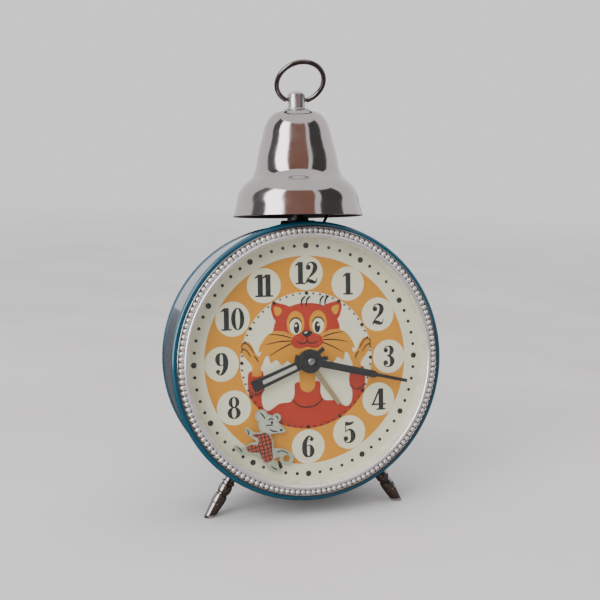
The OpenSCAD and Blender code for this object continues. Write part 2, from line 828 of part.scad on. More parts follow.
// Bores that both plates share: [position, radius]
shared_bores = [
    [centre, centre_arbor_r + run], [great_at, winding_arbor_r + run],
    [alarm_great_at, winding_arbor_r + run], [third_at, train_arbor_r + run],
    [fourth_at, train_arbor_r + run], [escape_at, 0.5 + run], [pallet_at, train_arbor_r + run],
    [alarm_escape_at, train_arbor_r + run], [verge_at, train_arbor_r + run],
    [alarm_set_at, set_arbor_r + run]
];

module plate_blank(y) {
    difference() {
        bar(centre, plate_r, y);
        for (b = shared_bores) bar(b[0], b[1], [y[0] - 1, y[1] + 1]);
        for (p = pillar_spots) bar(p, screw_r, [y[0] - 1, y[1] + 1]);
    }
}

module front_plate() {
    color("#c8a550") placed() difference() {
        plate_blank(front_plate_y);
        bar(minute_wheel_at, 0.8, [3, 6]);
        bar(balance_at, 1.6, [3, 6]);
        for (p = dial_foot_spots) bar(p, dial_foot_r, [3, 6]);
    }
}

module back_plate() {
    color("#c8a550") placed() difference() {
        plate_blank(back_plate_y);
        bar(balance_at, 1.6, [18, 21]);
        bar(stop_at, 1.2 + run, [18, 21]);
    }
}

module pillars() {
    color("#b89548") placed() for (p = pillar_spots) {
        bar(p, pillar_r, [front_plate_y[1], back_plate_y[0]]);
        bar(p, screw_r, [front_plate_y[0], back_plate_y[1] + 1.4]);
    }
}

module pillar_nuts() {
    color("#b4a36a") placed() for (p = pillar_spots) {
        translate([p[0], back_plate_y[1] + 1.2, p[1]]) rotate([90, 0, 0]) difference() {
            cylinder(r = 2.6, h = 1.2, $fn = 6);
            translate([0, 0, -1]) cylinder(r = screw_r, h = 4);
        }
    }
}

// ---- Hands' motion work ----

module centre_arbor() {
    color("#9b9da0") placed() bar(centre, centre_arbor_r, [-4.8, knob_y[0] + 3]);
}

module cannon_pinion() {
    color("#c39a3f") placed() difference() {
        union() {
            slab(cannon_y) gear(cannon_teeth, cannon_module, minute_wheel_angle, leaf = true);
            bar(centre, hand_pipe_r, [-4.8, cannon_y[1]]);
        }
        bar(centre, centre_arbor_r, [-6, 5]);
    }
}

module minute_wheel() {
    toward_centre = minute_wheel_angle + 180;
    color("#cda94e") placed() difference() {
        union() {
            slab(minute_wheel_y) about(minute_wheel_at)
                gear(minute_teeth, cannon_module, toward_centre, on_gap = true);
            slab([hour_wheel_y[0] - 0.1, minute_wheel_y[0]]) about(minute_wheel_at)
                gear(minute_pinion_teeth, hour_module, toward_centre, leaf = true);
            bar(minute_wheel_at, 0.75, [minute_wheel_y[1] - 0.1, front_plate_y[1]]);
        }
    }
}

module hour_wheel() {
    color("#cda94e") placed() difference() {
        union() {
            slab(hour_wheel_y) gear(hour_teeth, hour_module, minute_wheel_angle, on_gap = true);
            bar(centre, hour_pipe_r, [hour_hand_y[0], hour_wheel_y[1]]);
        }
        bar(centre, hand_pipe_r + run, [-6, 5]);
    }
}

module alarm_wheel() {
    color("#cda94e") placed() difference() {
        union() {
            slab(alarm_wheel_y) gear(alarm_wheel_teeth, alarm_set_module, alarm_set_angle);
            bar(centre, alarm_pipe_r, [alarm_hand_y[0], alarm_wheel_y[1]]);
        }
        bar(centre, hour_pipe_r + run, [-6, 5]);
    }
}

module alarm_set_arbor() {
    color("#9b9da0") placed() union() {
        bar(alarm_set_at, set_arbor_r, [alarm_wheel_y[0], knob_y[0] + 3]);
        slab([alarm_wheel_y[0] - 0.1, alarm_wheel_y[1] + 0.2]) about(alarm_set_at)
            gear(alarm_set_teeth, alarm_set_module, alarm_set_angle + 180, leaf = true, on_gap = true);
    }
}

// ---- Winding work ----

module winding_arbor(p, layer, spring) {
    bar(p, winding_arbor_r, [front_plate_y[0] + 0.1, knob_y[0] + 1.5]);
    bar(p, spring_core_r - 0.8, spring);
    slab(layer) about(p) pointed_wheel(ratchet_teeth, ratchet_r, ratchet_r - 1.3, 18);
}

// Great wheel that turns freely on its winding arbor and carries the click's pivot
module great_wheel(p, layer, teeth, m, toward, click_angle) {
    difference() {
        slab(layer) about(p) spoked(teeth * m / 2 - 3.2, 11, 5) gear(teeth, m, toward);
        bar(p, winding_arbor_r + run, [layer[0] - 1, layer[1] + 1]);
        bar(at(p, click_reach, click_angle), 0.8 + run, [layer[0] - 1, layer[1] + 1]);
    }
}

// Click: a pawl whose nose stands just clear of the ratchet's teeth
module click(p, layer, wheel, click_angle) {
    pivot = at(p, click_reach, click_angle);
    nose = at(p, ratchet_r + 0.75, click_angle + 40);
    arm = nose - pivot;
    slab(layer) union() {
        about(pivot) circle(r = 1.5);
        about(pivot) rotate(atan2(arm[1], arm[0])) polygon([
            [0, -1.1], [norm(arm), -0.35], [norm(arm), 0.35], [0, 1.1]]);
    }
    bar(pivot, 0.8, [min(layer[0], wheel[0]), max(layer[1], wheel[1])]);
}

module time_arbor() {
    color("#8e9194") placed() winding_arbor(great_at, time_click_y, time_spring_y);
}

module time_great_wheel() {
    color("#cda94e") placed() great_wheel(great_at, time_great_y, great_teeth, great_module,
                                          great_angle + 180, time_click_angle);
}

module time_click() {
    color("#8b8d90") placed() click(great_at, time_click_y, time_great_y, time_click_angle);
}

module time_mainspring() {
    color("#5f6b78") placed() slab(time_spring_y) about(great_at)
        spiral(spring_core_r, time_spring_r - 0.4, 6, 0.5);
}

module alarm_arbor() {
    color("#8e9194") placed() winding_arbor(alarm_great_at, alarm_click_y, alarm_spring_y);
}

module alarm_great_wheel() {
    color("#cda94e") placed() great_wheel(alarm_great_at, alarm_great_y, alarm_great_teeth,
                                          alarm_great_module, alarm_escape_angle,
                                          alarm_click_angle);
}

module alarm_click() {
    color("#8b8d90") placed() click(alarm_great_at, alarm_click_y, alarm_great_y, alarm_click_angle);
}

module alarm_mainspring() {
    color("#5f6b78") placed() slab(alarm_spring_y) about(alarm_great_at)
        spiral(spring_core_r, alarm_spring_r - 0.4, 6, 0.5);
}

// ---- Going train and escapement ----

// A wheel and a pinion on one arbor that runs in both plates
module wheel_and_pinion(p, arbor_r, wheel_y, pinion_y) {
    bar(p, arbor_r, [front_plate_y[0] + 0.1, back_plate_y[1] - 0.1]);
    slab(wheel_y) about(p) children(0);
    slab(pinion_y) about(p) children(1);
}

module centre_wheel() {
    color("#cda94e") placed() difference() {
        union() {
            slab(centre_wheel_y) spoked(10.2, 3.2, 4) gear(centre_teeth, centre_module, third_angle);
            slab([time_great_y[0] - 0.4, centre_wheel_y[0]])
                gear(centre_pinion_teeth, great_module, great_angle, leaf = true, on_gap = true);
        }
        bar(centre, centre_arbor_r + run, [4, 10]);
    }
}

module third_wheel() {
    color("#cda94e") placed() wheel_and_pinion(third_at, train_arbor_r, third_wheel_y,
                                               [centre_wheel_y[0] - 0.3, centre_wheel_y[1] + 0.3]) {
        spoked(9.6, 2.6, 4) gear(third_teeth, third_module, fourth_angle);
        gear(third_pinion_teeth, centre_module, third_angle + 180, leaf = true, on_gap = true);
    }
}

module fourth_wheel() {
    color("#cda94e") placed() wheel_and_pinion(fourth_at, train_arbor_r, fourth_wheel_y,
                                               [third_wheel_y[0] - 0.3, third_wheel_y[1] + 0.3]) {
        spoked(9.0, 2.4, 4) gear(fourth_teeth, fourth_module, escape_angle);
        gear(fourth_pinion_teeth, third_module, fourth_angle + 180, leaf = true, on_gap = true);
    }
}

module escape_wheel() {
    color("#d2b25c") placed() wheel_and_pinion(escape_at, 0.5, escape_y,
                                               [fourth_wheel_y[0] - 0.3, fourth_wheel_y[1] + 0.3]) {
        spoked(4.2, 1.6, 3) pointed_wheel(escape_teeth, escape_r, escape_r - 1.5, 9);
        gear(escape_pinion_teeth, fourth_module, escape_angle + 180, leaf = true, on_gap = true);
    }
}

// Balance with its staff, roller and impulse pin
module balance_wheel() {
    rim_r = 9.5;
    color("#cfae56") placed() union() {
        bar(balance_at, train_arbor_r, [front_plate_y[1] - 0.4, back_plate_y[0] + 0.4]);
        slab(balance_y) about(balance_at) spoked(rim_r - 1.4, 1.8, 2) circle(r = rim_r);
        bar(balance_at, 3.0, roller_y);
        bar(at(balance_at, 2.4, balance_angle + 180), 0.3, [roller_y[0], pallet_y[1]]);
        bar(balance_at, 1.2, [hairspring_y[0] - 0.2, hairspring_y[1]]);
    }
}

module hairspring() {
    color("#3f5f8a") placed() slab(hairspring_y) about(balance_at) spiral(1.9, 6.2, 6, 0.12, 16);
}

// Screwed cups that carry the pointed ends of the balance staff
module balance_bearings() {
    color("#9da0a3") placed() union() {
        difference() {
            bar(balance_at, 1.6, [front_plate_y[0] - 0.6, front_plate_y[1]]);
            bar(balance_at, train_arbor_r + run, [front_plate_y[1] - 0.5, 8]);
        }
        difference() {
            bar(balance_at, 1.6, [back_plate_y[0], back_plate_y[1] + 0.2]);
            bar(balance_at, train_arbor_r + run, [16, back_plate_y[0] + 0.5]);
        }
    }
}

// Regulator: a lever behind the back plate whose tip comes out through the cover's slot
module regulator_lever() {
    layer = [back_plate_y[1] + 0.3, back_plate_y[1] + 0.9];
    tip = at(balance_at, 11.5, regulator_angle);
    color("#b9bbbe") placed() difference() {
        union() {
            slab(layer) union() {
                about(balance_at) circle(r = 3.4);
                about(balance_at) rotate(regulator_angle) translate([0, -1]) square([11.5, 2]);
                about(tip) circle(r = 1.0);
            }
            bar(tip, 1.0, [layer[0], cover_y[1] + 2.2]);
        }
        bar(balance_at, 1.7, [18, 22]);
    }
}

module alarm_escape_wheel() {
    color("#d2b25c") placed() wheel_and_pinion(alarm_escape_at, train_arbor_r, alarm_escape_y,
                                               [alarm_great_y[0] - 0.3, alarm_great_y[1] + 0.2]) {
        spoked(4.6, 1.8, 3) pointed_wheel(15, alarm_escape_r, alarm_escape_r - 1.6, 6);
        gear(alarm_pinion_teeth, alarm_great_module, alarm_escape_angle + 180, leaf = true,
             on_gap = true);
    }
}

case_drum();
bezel_ring();
crystal();
glass_retainer();
dial_plate();
hour_hand();
minute_hand();
alarm_hand();
hand_cap();
mouse_figure();
pallet_arbor();
pallet_lever();
leg_left();
leg_right();
rear_foot();
inner_nuts();
bell();
bell_post();
bell_washer();
finial();
carry_ring();
hammer_arm();
hammer_head();
alarm_verge();
back_cover();
cover_screws();
movement_posts();
time_key();
alarm_key();
time_set_knob();
alarm_set_knob();
stop_button();
stop_spring();
regulator_lever();
front_plate();
back_plate();
pillars();
pillar_nuts();
centre_arbor();
centre_wheel();
cannon_pinion();
minute_wheel();
hour_wheel();
alarm_wheel();
alarm_set_arbor();
time_arbor();
time_great_wheel();
time_click();
time_mainspring();
third_wheel();
fourth_wheel();
escape_wheel();
balance_wheel();
hairspring();
balance_bearings();
alarm_arbor();
alarm_great_wheel();
alarm_click();
alarm_mainspring();
alarm_escape_wheel();
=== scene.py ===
"""Looks of the wind-up alarm clock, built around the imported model.

The clock's sizes are millimetres in its own frame, which starts at the dial's centre and leans
back with the drum: X to the right, Y from the dial towards the back, Z up along the dial. PLACE
turns them into the row frame's metres. The studio is in metres in the row frame.
"""
import json
import math

import bmesh
import bpy
from mathutils import Matrix, Vector


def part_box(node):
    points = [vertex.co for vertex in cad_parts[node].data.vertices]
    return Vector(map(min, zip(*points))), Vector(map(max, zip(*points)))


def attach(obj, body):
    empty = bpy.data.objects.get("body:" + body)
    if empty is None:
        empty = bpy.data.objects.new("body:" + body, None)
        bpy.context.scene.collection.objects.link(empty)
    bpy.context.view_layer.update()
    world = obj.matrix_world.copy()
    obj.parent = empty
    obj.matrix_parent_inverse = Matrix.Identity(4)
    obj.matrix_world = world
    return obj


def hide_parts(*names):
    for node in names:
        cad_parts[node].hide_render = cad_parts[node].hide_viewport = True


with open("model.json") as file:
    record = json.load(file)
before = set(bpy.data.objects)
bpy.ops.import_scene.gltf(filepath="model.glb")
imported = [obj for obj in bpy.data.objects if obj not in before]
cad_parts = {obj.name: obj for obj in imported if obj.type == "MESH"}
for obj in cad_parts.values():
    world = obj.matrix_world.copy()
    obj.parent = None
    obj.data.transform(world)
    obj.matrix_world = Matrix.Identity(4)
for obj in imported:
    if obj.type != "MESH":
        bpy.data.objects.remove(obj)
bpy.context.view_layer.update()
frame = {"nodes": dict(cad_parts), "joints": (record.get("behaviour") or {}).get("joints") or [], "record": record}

MM = 0.001
HAND_JOINT_DEPTH = 10           # the hands' joint is stated this far behind the dial's face
scene = bpy.context.scene


def clock_place():
    """Matrix from the clock's millimetres to the row frame, from the minute hand's joint."""
    turn = next(j for j in frame["joints"] if j["name"] == "minute_hand_turn")
    back = Vector(turn["axis"]).normalized()
    right = Vector((1, 0, 0))
    up = right.cross(back)
    centre = Vector(turn["pos_m"]) - back * HAND_JOINT_DEPTH * MM
    turned = Matrix((right, back, up)).transposed().to_4x4()
    return Matrix.Translation(centre) @ turned @ Matrix.Scale(MM, 4)


PLACE = clock_place()


# ---- Camera ----

LENS = 57.64                              # on the usual 36 mm sensor
CAMERA_FROM_DIAL = Vector((-105.9, -343.4, 89.6)) * MM
AIM_FROM_DIAL = Vector((-3.4, 0, 23.6)) * MM
CAMERA_ROLL = math.radians(1.42)
CLIP_START = 0.01


def make_camera():
    dial = PLACE.translation
    sight = (AIM_FROM_DIAL - CAMERA_FROM_DIAL).normalized()
    right = sight.cross(Vector((0, 0, 1))).normalized()
    up = right.cross(sight)
    rolled_right = right * math.cos(CAMERA_ROLL) + up * math.sin(CAMERA_ROLL)
    rolled_up = rolled_right.cross(sight)
    turned = Matrix((rolled_right, rolled_up, -sight)).transposed().to_4x4()
    data = bpy.data.cameras.new("camera")
    data.lens = LENS
    data.clip_start = CLIP_START
    camera = bpy.data.objects.new("camera", data)
    camera.matrix_world = Matrix.Translation(dial + CAMERA_FROM_DIAL) @ turned
    scene.collection.objects.link(camera)
    scene.camera = camera


make_camera()


# ---- Materials ----

NOISE_SPAN = (0.3, 0.7)         # a noise texture's values lie mostly between these
GRAIN_DEPTH = 0.1
PIT_DEPTH = 0.08
PIT_STRENGTH = 0.35             # share of its depth that a pit shows
PIT_EDGE = (0.05, 0.22)         # share of a cell where a pit is full, and where it has ended
PIT_FADE = 0.1                  # how softly a cell turns from plain to pitted


def node(tree, kind, settings=None, **sockets):
    """A shader node; each socket named in the call gets a value or a link."""
    made = tree.nodes.new(kind)
    for key, value in (settings or {}).items():
        setattr(made, key, value)
    for key, value in sockets.items():
        socket = made.inputs[key.replace("_", " ")]
        if isinstance(value, bpy.types.NodeSocket):
            tree.links.new(value, socket)
        else:
            socket.default_value = value
    return made


def shade_of(colour, factor):
    return tuple(min(1, c * factor) for c in colour) + (1,)


def finish(name, colour, roughness, metallic=0.0, coat=0.0, coat_roughness=0.08, tone=0.07,
           blotch=7, rough_tone=0.25, grain=0.25, bump=0.04, pits=0.0, pit_size=0.5,
           pit_tone=0.45, stretch=(1, 1, 1), specular=0.5):
    """A surface whose colour, gloss and relief vary: broad blotches, fine grain and small pits."""
    look = bpy.data.materials.new(name)
    look.use_nodes = True
    tree = look.node_tree
    shader = tree.nodes["Principled BSDF"]
    place = node(tree, "ShaderNodeMapping", Scale=stretch,
                 Vector=node(tree, "ShaderNodeTexCoord").outputs["Object"]).outputs[0]
    broad = node(tree, "ShaderNodeTexNoise", Vector=place, Scale=1 / (blotch * MM),
                 Detail=5.0, Roughness=0.6).outputs["Fac"]
    fine = node(tree, "ShaderNodeTexNoise", Vector=place, Scale=1 / (grain * MM),
                Detail=2.0).outputs["Fac"]
    tint = node(tree, "ShaderNodeMixRGB", Fac=broad, Color1=shade_of(colour, 1 - 2 * tone),
                Color2=shade_of(colour, 1 + 2 * tone)).outputs[0]
    gloss = node(tree, "ShaderNodeMapRange", Value=broad, From_Min=NOISE_SPAN[0],
                 From_Max=NOISE_SPAN[1], To_Min=roughness * (1 - rough_tone),
                 To_Max=roughness * (1 + rough_tone)).outputs[0]
    relief = node(tree, "ShaderNodeBump", Strength=bump, Distance=GRAIN_DEPTH * MM,
                  Height=fine).outputs[0]
    if pits:
        cells = node(tree, "ShaderNodeTexVoronoi", Vector=place, Scale=1 / (pit_size * MM),
                     Randomness=1.0)
        few = node(tree, "ShaderNodeMapRange", Value=cells.outputs["Distance"],
                   From_Min=PIT_EDGE[0], From_Max=PIT_EDGE[1], To_Min=1.0,
                   To_Max=0.0).outputs[0]
        where = node(tree, "ShaderNodeMapRange", Value=cells.outputs["Color"],
                     From_Min=1 - pits, From_Max=1 - pits + PIT_FADE, To_Min=0.0,
                     To_Max=1.0).outputs[0]
        spot = node(tree, "ShaderNodeMath", {"operation": "MULTIPLY"})
        tree.links.new(few, spot.inputs[0])
        tree.links.new(where, spot.inputs[1])
        tint = node(tree, "ShaderNodeMixRGB", Fac=spot.outputs[0], Color1=tint,
                    Color2=shade_of(colour, pit_tone)).outputs[0]
        relief = node(tree, "ShaderNodeBump", {"invert": True}, Strength=PIT_STRENGTH,
                      Distance=PIT_DEPTH * MM, Height=spot.outputs[0], Normal=relief).outputs[0]
    tree.links.new(tint, shader.inputs["Base Color"])
    tree.links.new(gloss, shader.inputs["Roughness"])
    tree.links.new(relief, shader.inputs["Normal"])
    shader.inputs["Metallic"].default_value = metallic
    shader.inputs["Specular IOR Level"].default_value = specular
    shader.inputs["Coat Weight"].default_value = coat
    shader.inputs["Coat Roughness"].default_value = coat_roughness
    return look


GLASS_TINT = (0.97, 0.99, 0.98, 1)
GLASS_SHADOW = (0.95, 0.97, 0.96, 1)
GLASS_INDEX = 1.5
HAZE_SIZE = 9
HAZE_SPAN = (0.4, 0.8)
HAZE_ROUGHNESS = 0.05           # where the haze is thickest


def clear_glass():
    """Thin clear glass that lets the lamps' light through to the dial."""
    look = bpy.data.materials.new("clear_glass")
    look.use_nodes = True
    tree = look.node_tree
    shader = tree.nodes["Principled BSDF"]
    place = node(tree, "ShaderNodeTexCoord").outputs["Object"]
    haze = node(tree, "ShaderNodeTexNoise", Vector=place, Scale=1 / (HAZE_SIZE * MM), Detail=6.0,
                Roughness=0.7).outputs["Fac"]
    gloss = node(tree, "ShaderNodeMapRange", Value=haze, From_Min=HAZE_SPAN[0],
                 From_Max=HAZE_SPAN[1], To_Min=0.0, To_Max=HAZE_ROUGHNESS).outputs[0]
    tree.links.new(gloss, shader.inputs["Roughness"])
    shader.inputs["Base Color"].default_value = GLASS_TINT
    shader.inputs["Transmission Weight"].default_value = 1.0
    shader.inputs["IOR"].default_value = GLASS_INDEX
    through = node(tree, "ShaderNodeBsdfTransparent", Color=GLASS_SHADOW)
    mix = node(tree, "ShaderNodeMixShader",
               Fac=node(tree, "ShaderNodeLightPath").outputs["Is Shadow Ray"])
    tree.links.new(shader.outputs[0], mix.inputs[1])
    tree.links.new(through.outputs[0], mix.inputs[2])
    tree.links.new(mix.outputs[0], tree.nodes["Material Output"].inputs["Surface"])
    return look


def printed(name, colour, **changes):
    """Ink on the painted dial, slightly uneven and with a soft gloss."""
    settings = dict(roughness=0.5, tone=0.035, blotch=5, grain=0.18, bump=0.03, specular=0.2)
    settings.update(changes)
    return finish(name, colour, **settings)


TEAL = (0.003, 0.062, 0.105)
CREAM = (0.72, 0.68, 0.51)
ORANGE = (0.60, 0.235, 0.004)
RED = (0.38, 0.018, 0.0)
INK = (0.004, 0.005, 0.004)
MOUSE_GREY = (0.30, 0.33, 0.25)
STEEL = (0.56, 0.55, 0.54)
BRASS = (0.72, 0.50, 0.20)

LOOKS = {
    "case_paint": finish("teal_enamel", TEAL, 0.3, coat=1.0, coat_roughness=0.05, tone=0.06,
                         blotch=14, bump=0.02, grain=1.3, pits=0.03, pit_size=1.6,
                         pit_tone=2.2),
    # The bezel's chrome is darker here than the lighter copy on its beads and lip: painted shade and painted
    # reflection on the channel round the beads.
    "bezel_chrome": finish("bezel_chrome", (0.56, 0.53, 0.51), 0.13, metallic=1.0, blotch=4,
                           pits=0.12, pit_size=0.7, bump=0.02),
    "bell_chrome": finish("bell_chrome", (0.49, 0.455, 0.445), 0.12, metallic=1.0, blotch=9,
                          rough_tone=0.5, pits=0.22, pit_size=0.9, bump=0.03, grain=0.5),
    "leg_chrome": finish("leg_chrome", (0.34, 0.32, 0.31), 0.2, metallic=1.0, blotch=3,
                         rough_tone=0.4, pits=0.3, pit_size=0.6, bump=0.05),
    "crystal_glass": clear_glass(),
    "retainer_white": finish("retainer_cream", (0.70, 0.66, 0.56), 0.3, coat=0.3, blotch=6,
                             pits=0.1, pit_size=0.8),
    "dial_print": printed("dial_cream", CREAM, pits=0.04, pit_size=0.9, pit_tone=0.7),
    "hand_black": finish("hand_black", (0.003, 0.003, 0.004), 0.5, blotch=3,
                         bump=0.05, grain=0.15, pits=0.1, pit_size=0.4, pit_tone=3.0,
                         specular=0.25),
    "pin_steel": finish("pin_steel", (0.22, 0.205, 0.20), 0.22, metallic=1.0, blotch=3,
                        pits=0.06, pit_size=0.5, bump=0.05),
    "alarm_hand_brass": finish("alarm_hand_brass", (0.36, 0.26, 0.13), 0.42, metallic=0.8,
                               blotch=2, tone=0.12),
    "mouse_paint": printed("mouse_grey", MOUSE_GREY, tone=0.08, blotch=3),
    "dark_steel": finish("dark_steel", (0.06, 0.06, 0.065), 0.38, metallic=0.9, blotch=2),
    "bright_steel": finish("bright_steel", STEEL, 0.24, metallic=1.0, blotch=4, bump=0.06,
                           stretch=(1, 1, 6)),
    "movement_brass": finish("movement_brass", BRASS, 0.28, metallic=1.0, blotch=6, bump=0.07,
                             stretch=(8, 1, 1)),
    "spring_steel": finish("spring_steel", (0.06, 0.09, 0.17), 0.25, metallic=1.0, blotch=3),
    "key_brass": finish("key_brass", (0.70, 0.50, 0.22), 0.22, metallic=1.0, blotch=5,
                        tone=0.1, rough_tone=0.5, pits=0.15, pit_size=0.7),
    "button_plastic": finish("ivory_plastic", (0.66, 0.60, 0.45), 0.3, blotch=4, coat=0.2),
}
ORANGE_INK = printed("orange_ink", ORANGE, tone=0.05, blotch=9)
RED_INK = printed("red_ink", RED, tone=0.05)
BLACK_INK = printed("black_ink", INK, tone=0.2)
CREAM_INK = printed("cream_ink", CREAM)
PALE_INK = printed("pale_ink", (0.40, 0.42, 0.35))
# Painted highlight: a much lighter copy of the bezel's chrome, for its beads and lip.
LIT_BEAD_SILVER = finish("bead_silver_painted_highlight", (0.95, 0.94, 0.92), 0.2, metallic=0.7, blotch=3,
                     bump=0.02)
FINIAL_STEEL = finish("finial_steel", (0.60, 0.59, 0.58), 0.34, metallic=1.0, blotch=4,
                      bump=0.06, stretch=(4, 4, 1))
# Painted shade: a dark copy of the bell's metal, for the thin sheet laid over the bell's inner face.
BELL_SHADE_LOOK = finish("bell_painted_shade", (0.05, 0.047, 0.045), 0.5, metallic=0.7, blotch=5)
LUME = printed("pale_lume", (0.42, 0.43, 0.36), roughness=0.7, bump=0.15)


GINGHAM_PITCH = 1.45
GINGHAM_TURNS = (12, 102)       # the two directions of the lines, in degrees
GINGHAM_LINE = (0.72, 0.86)     # the wave's value where a line begins, and where it is full
GINGHAM_RED = (0.38, 0.05, 0.012)
GINGHAM_DARK = (0.02, 0.01, 0.01, 1)
WAVE_PERIOD = math.pi / 10      # a wave texture of scale 1 repeats at this distance


def gingham():
    """Red cloth pattern with dark crossing lines, printed on the mouse."""
    look = printed("red_gingham", GINGHAM_RED)
    tree = look.node_tree
    shader = tree.nodes["Principled BSDF"]
    place = node(tree, "ShaderNodeTexCoord").outputs["Object"]
    lines = []
    for turn in GINGHAM_TURNS:
        along = node(tree, "ShaderNodeMapping", Vector=place,
                     Rotation=(0, math.radians(turn), 0)).outputs[0]
        wave = node(tree, "ShaderNodeTexWave", {"bands_direction": "X"}, Vector=along,
                    Scale=WAVE_PERIOD / (GINGHAM_PITCH * MM)).outputs["Fac"]
        lines.append(node(tree, "ShaderNodeMapRange", Value=wave,
                          From_Min=GINGHAM_LINE[0], From_Max=GINGHAM_LINE[1]).outputs[0])
    both = node(tree, "ShaderNodeMath", {"operation": "MAXIMUM"})
    for line, socket in zip(lines, both.inputs):
        tree.links.new(line, socket)
    cloth = shader.inputs["Base Color"].links[0].from_socket
    mixed = node(tree, "ShaderNodeMixRGB", Fac=both.outputs[0], Color1=cloth,
                 Color2=GINGHAM_DARK).outputs[0]
    tree.links.new(mixed, shader.inputs["Base Color"])
    return look


GINGHAM = gingham()


# ---- Mesh helpers ----

def new_piece(name, verts, faces, look, body, slot, smooth_angle=35):
    """A mesh piece in clock millimetres that moves with a body and takes the look it is given."""
    mesh = bpy.data.meshes.new(name)
    mesh.from_pydata([tuple(v) for v in verts], [], faces)
    mesh.transform(PLACE)
    shape = bmesh.new()
    shape.from_mesh(mesh)
    bmesh.ops.recalc_face_normals(shape, faces=shape.faces)
    shape.to_mesh(mesh)
    shape.free()
    mesh.shade_smooth()
    mesh.set_sharp_from_angle(angle=math.radians(smooth_angle))
    mesh.materials.append(look)
    piece = bpy.data.objects.new(name, mesh)
    scene.collection.objects.link(piece)
    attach(piece, body)
    return piece


def lathe(profile, steps=192, axis="Y", centre=(0, 0, 0)):
    """Closed outline of [radius, height] points turned about an axis: verts and faces."""
    cx, cy, cz = centre
    verts, faces = [], []
    count = len(profile)
    for i in range(steps):
        a = 2 * math.pi * i / steps
        for r, h in profile:
            across, other = r * math.cos(a), r * math.sin(a)
            if axis == "Y":
                verts.append((cx + across, cy + h, cz + other))
            else:
                verts.append((cx + across, cy + other, cz + h))
    for i in range(steps):
        here, there = i * count, (i + 1) % steps * count
        for j in range(count):
            k = (j + 1) % count
            faces.append((here + j, here + k, there + k, there + j))
    return verts, faces


def arc(cx, cy, r, start, end, steps=10):
    """Points of an arc, angles in degrees."""
    angles = [math.radians(start + (end - start) * i / steps) for i in range(steps + 1)]
    return [(cx + r * math.cos(a), cy + r * math.sin(a)) for a in angles]


def circle(cx, cy, r, sides):
    """Points round a full circle."""
    return arc(cx, cy, r, 0, 360 * (sides - 1) / sides, sides - 1)


def catmull(p0, p1, p2, p3, t):
    """Point of a Catmull-Rom curve, at share t of the way from p1 to p2."""
    return tuple(0.5 * (2 * b + (c - a) * t + (2 * a - 5 * b + 4 * c - d) * t * t
                        + (3 * b - a - 3 * c + d) * t ** 3)
                 for a, b, c, d in zip(p0, p1, p2, p3))


def smooth_open(points, steps=8):
    """Smooth curve through points, from the first to the last."""
    last = len(points) - 1
    made = []
    for i in range(last):
        around = (points[max(i - 1, 0)], points[i], points[i + 1], points[min(i + 2, last)])
        made += [catmull(*around, j / steps) for j in range(steps)]
    return made + [tuple(points[-1])]


def smooth_closed(points, steps=8):
    """Smooth closed curve through points."""
    count = len(points)
    made = []
    for i in range(count):
        around = [points[(i + k) % count] for k in (-1, 0, 1, 2)]
        made += [catmull(*around, j / steps) for j in range(steps)]
    return made


def join(shapes):
    """Joins (verts, faces) shapes into one."""
    verts, faces = [], []
    for part_verts, part_faces in shapes:
        base = len(verts)
        verts += part_verts
        faces += [tuple(base + i for i in face) for face in part_faces]
    return verts, faces


# Flat shapes are (points, faces) in the dial's plane, points as (x, z)

def filled(outline):
    return list(outline), [tuple(range(len(outline)))]


def disc(x, z, r, steps=40):
    return filled(circle(x, z, r, steps))


def oval(x, z, rx, rz, steps=40, turn=0):
    c, s = math.cos(math.radians(turn)), math.sin(math.radians(turn))
    return filled([(x + rx * u * c - rz * v * s, z + rx * u * s + rz * v * c)
                   for u, v in circle(0, 0, 1, steps)])


def between(outer, inner):
    """Ring between two outlines with the same number of points."""
    count = len(outer)
    faces = [(i, (i + 1) % count, count + (i + 1) % count, count + i) for i in range(count)]
    return list(outer) + list(inner), faces


def ring(x, z, outer, inner, steps=192):
    return between(circle(x, z, outer, steps), circle(x, z, inner, steps))


def stroke(points, steps=8):
    """Brush line through (x, z, width) points."""
    path = smooth_open(points, steps)
    sides = []
    for i, (x, z, width) in enumerate(path):
        x0, z0, _ = path[max(i - 1, 0)]
        x1, z1, _ = path[min(i + 1, len(path) - 1)]
        length = math.hypot(x1 - x0, z1 - z0) or 1
        nx, nz = (z0 - z1) / length, (x1 - x0) / length
        sides += [(x + nx * width / 2, z + nz * width / 2),
                  (x - nx * width / 2, z - nz * width / 2)]
    faces = [(i, i + 1, i + 3, i + 2) for i in range(0, len(sides) - 2, 2)]
    return sides, faces


def bar(x0, z0, x1, z1):
    return filled([(x0, z0), (x1, z0), (x1, z1), (x0, z1)])


def moved(shape, x=0, z=0, scale=1.0, flip=False):
    sign = -1 if flip else 1
    points, faces = shape
    return [(x + sign * scale * px, z + sign * scale * pz) for px, pz in points], faces


def sheet(shape, front, back):
    """Gives a flat shape a thickness, from Y = front to Y = back."""
    points, faces = shape
    count = len(points)
    verts = [(x, front, z) for x, z in points] + [(x, back, z) for x, z in points]
    solid = list(faces) + [tuple(count + i for i in reversed(face)) for face in faces]
    uses = {}
    for face in faces:
        for a, b in zip(face, face[1:] + face[:1]):
            uses.setdefault(frozenset((a, b)), []).append((a, b))
    for edge in uses.values():
        if len(edge) == 1:
            a, b = edge[0]
            solid.append((b, a, count + a, count + b))
    return verts, solid


INK_STEP = 0.03                 # each printed layer stands this much proud of the last
INK_SMOOTH_ANGLE = 20


def dial_layer(name, level, shapes, look):
    solid = join([sheet(s, -level * INK_STEP, 0.0) for s in shapes])
    new_piece(name, *solid, look, "case", "dial_print", smooth_angle=INK_SMOOTH_ANGLE)


# ---- Numerals: each figure is drawn one unit high, from its lower left corner ----

NUMERAL_SIDES = 36


def numeral_ring(x, z, rx, rz, side, hair):
    """Oval ring, as wide as side at its flanks and as hair at its top and bottom."""
    def outline(a, b):
        return [(x + a * u, z + b * v) for u, v in circle(0, 0, 1, NUMERAL_SIDES)]
    return between(outline(rx, rz), outline(rx - side, rz - hair))


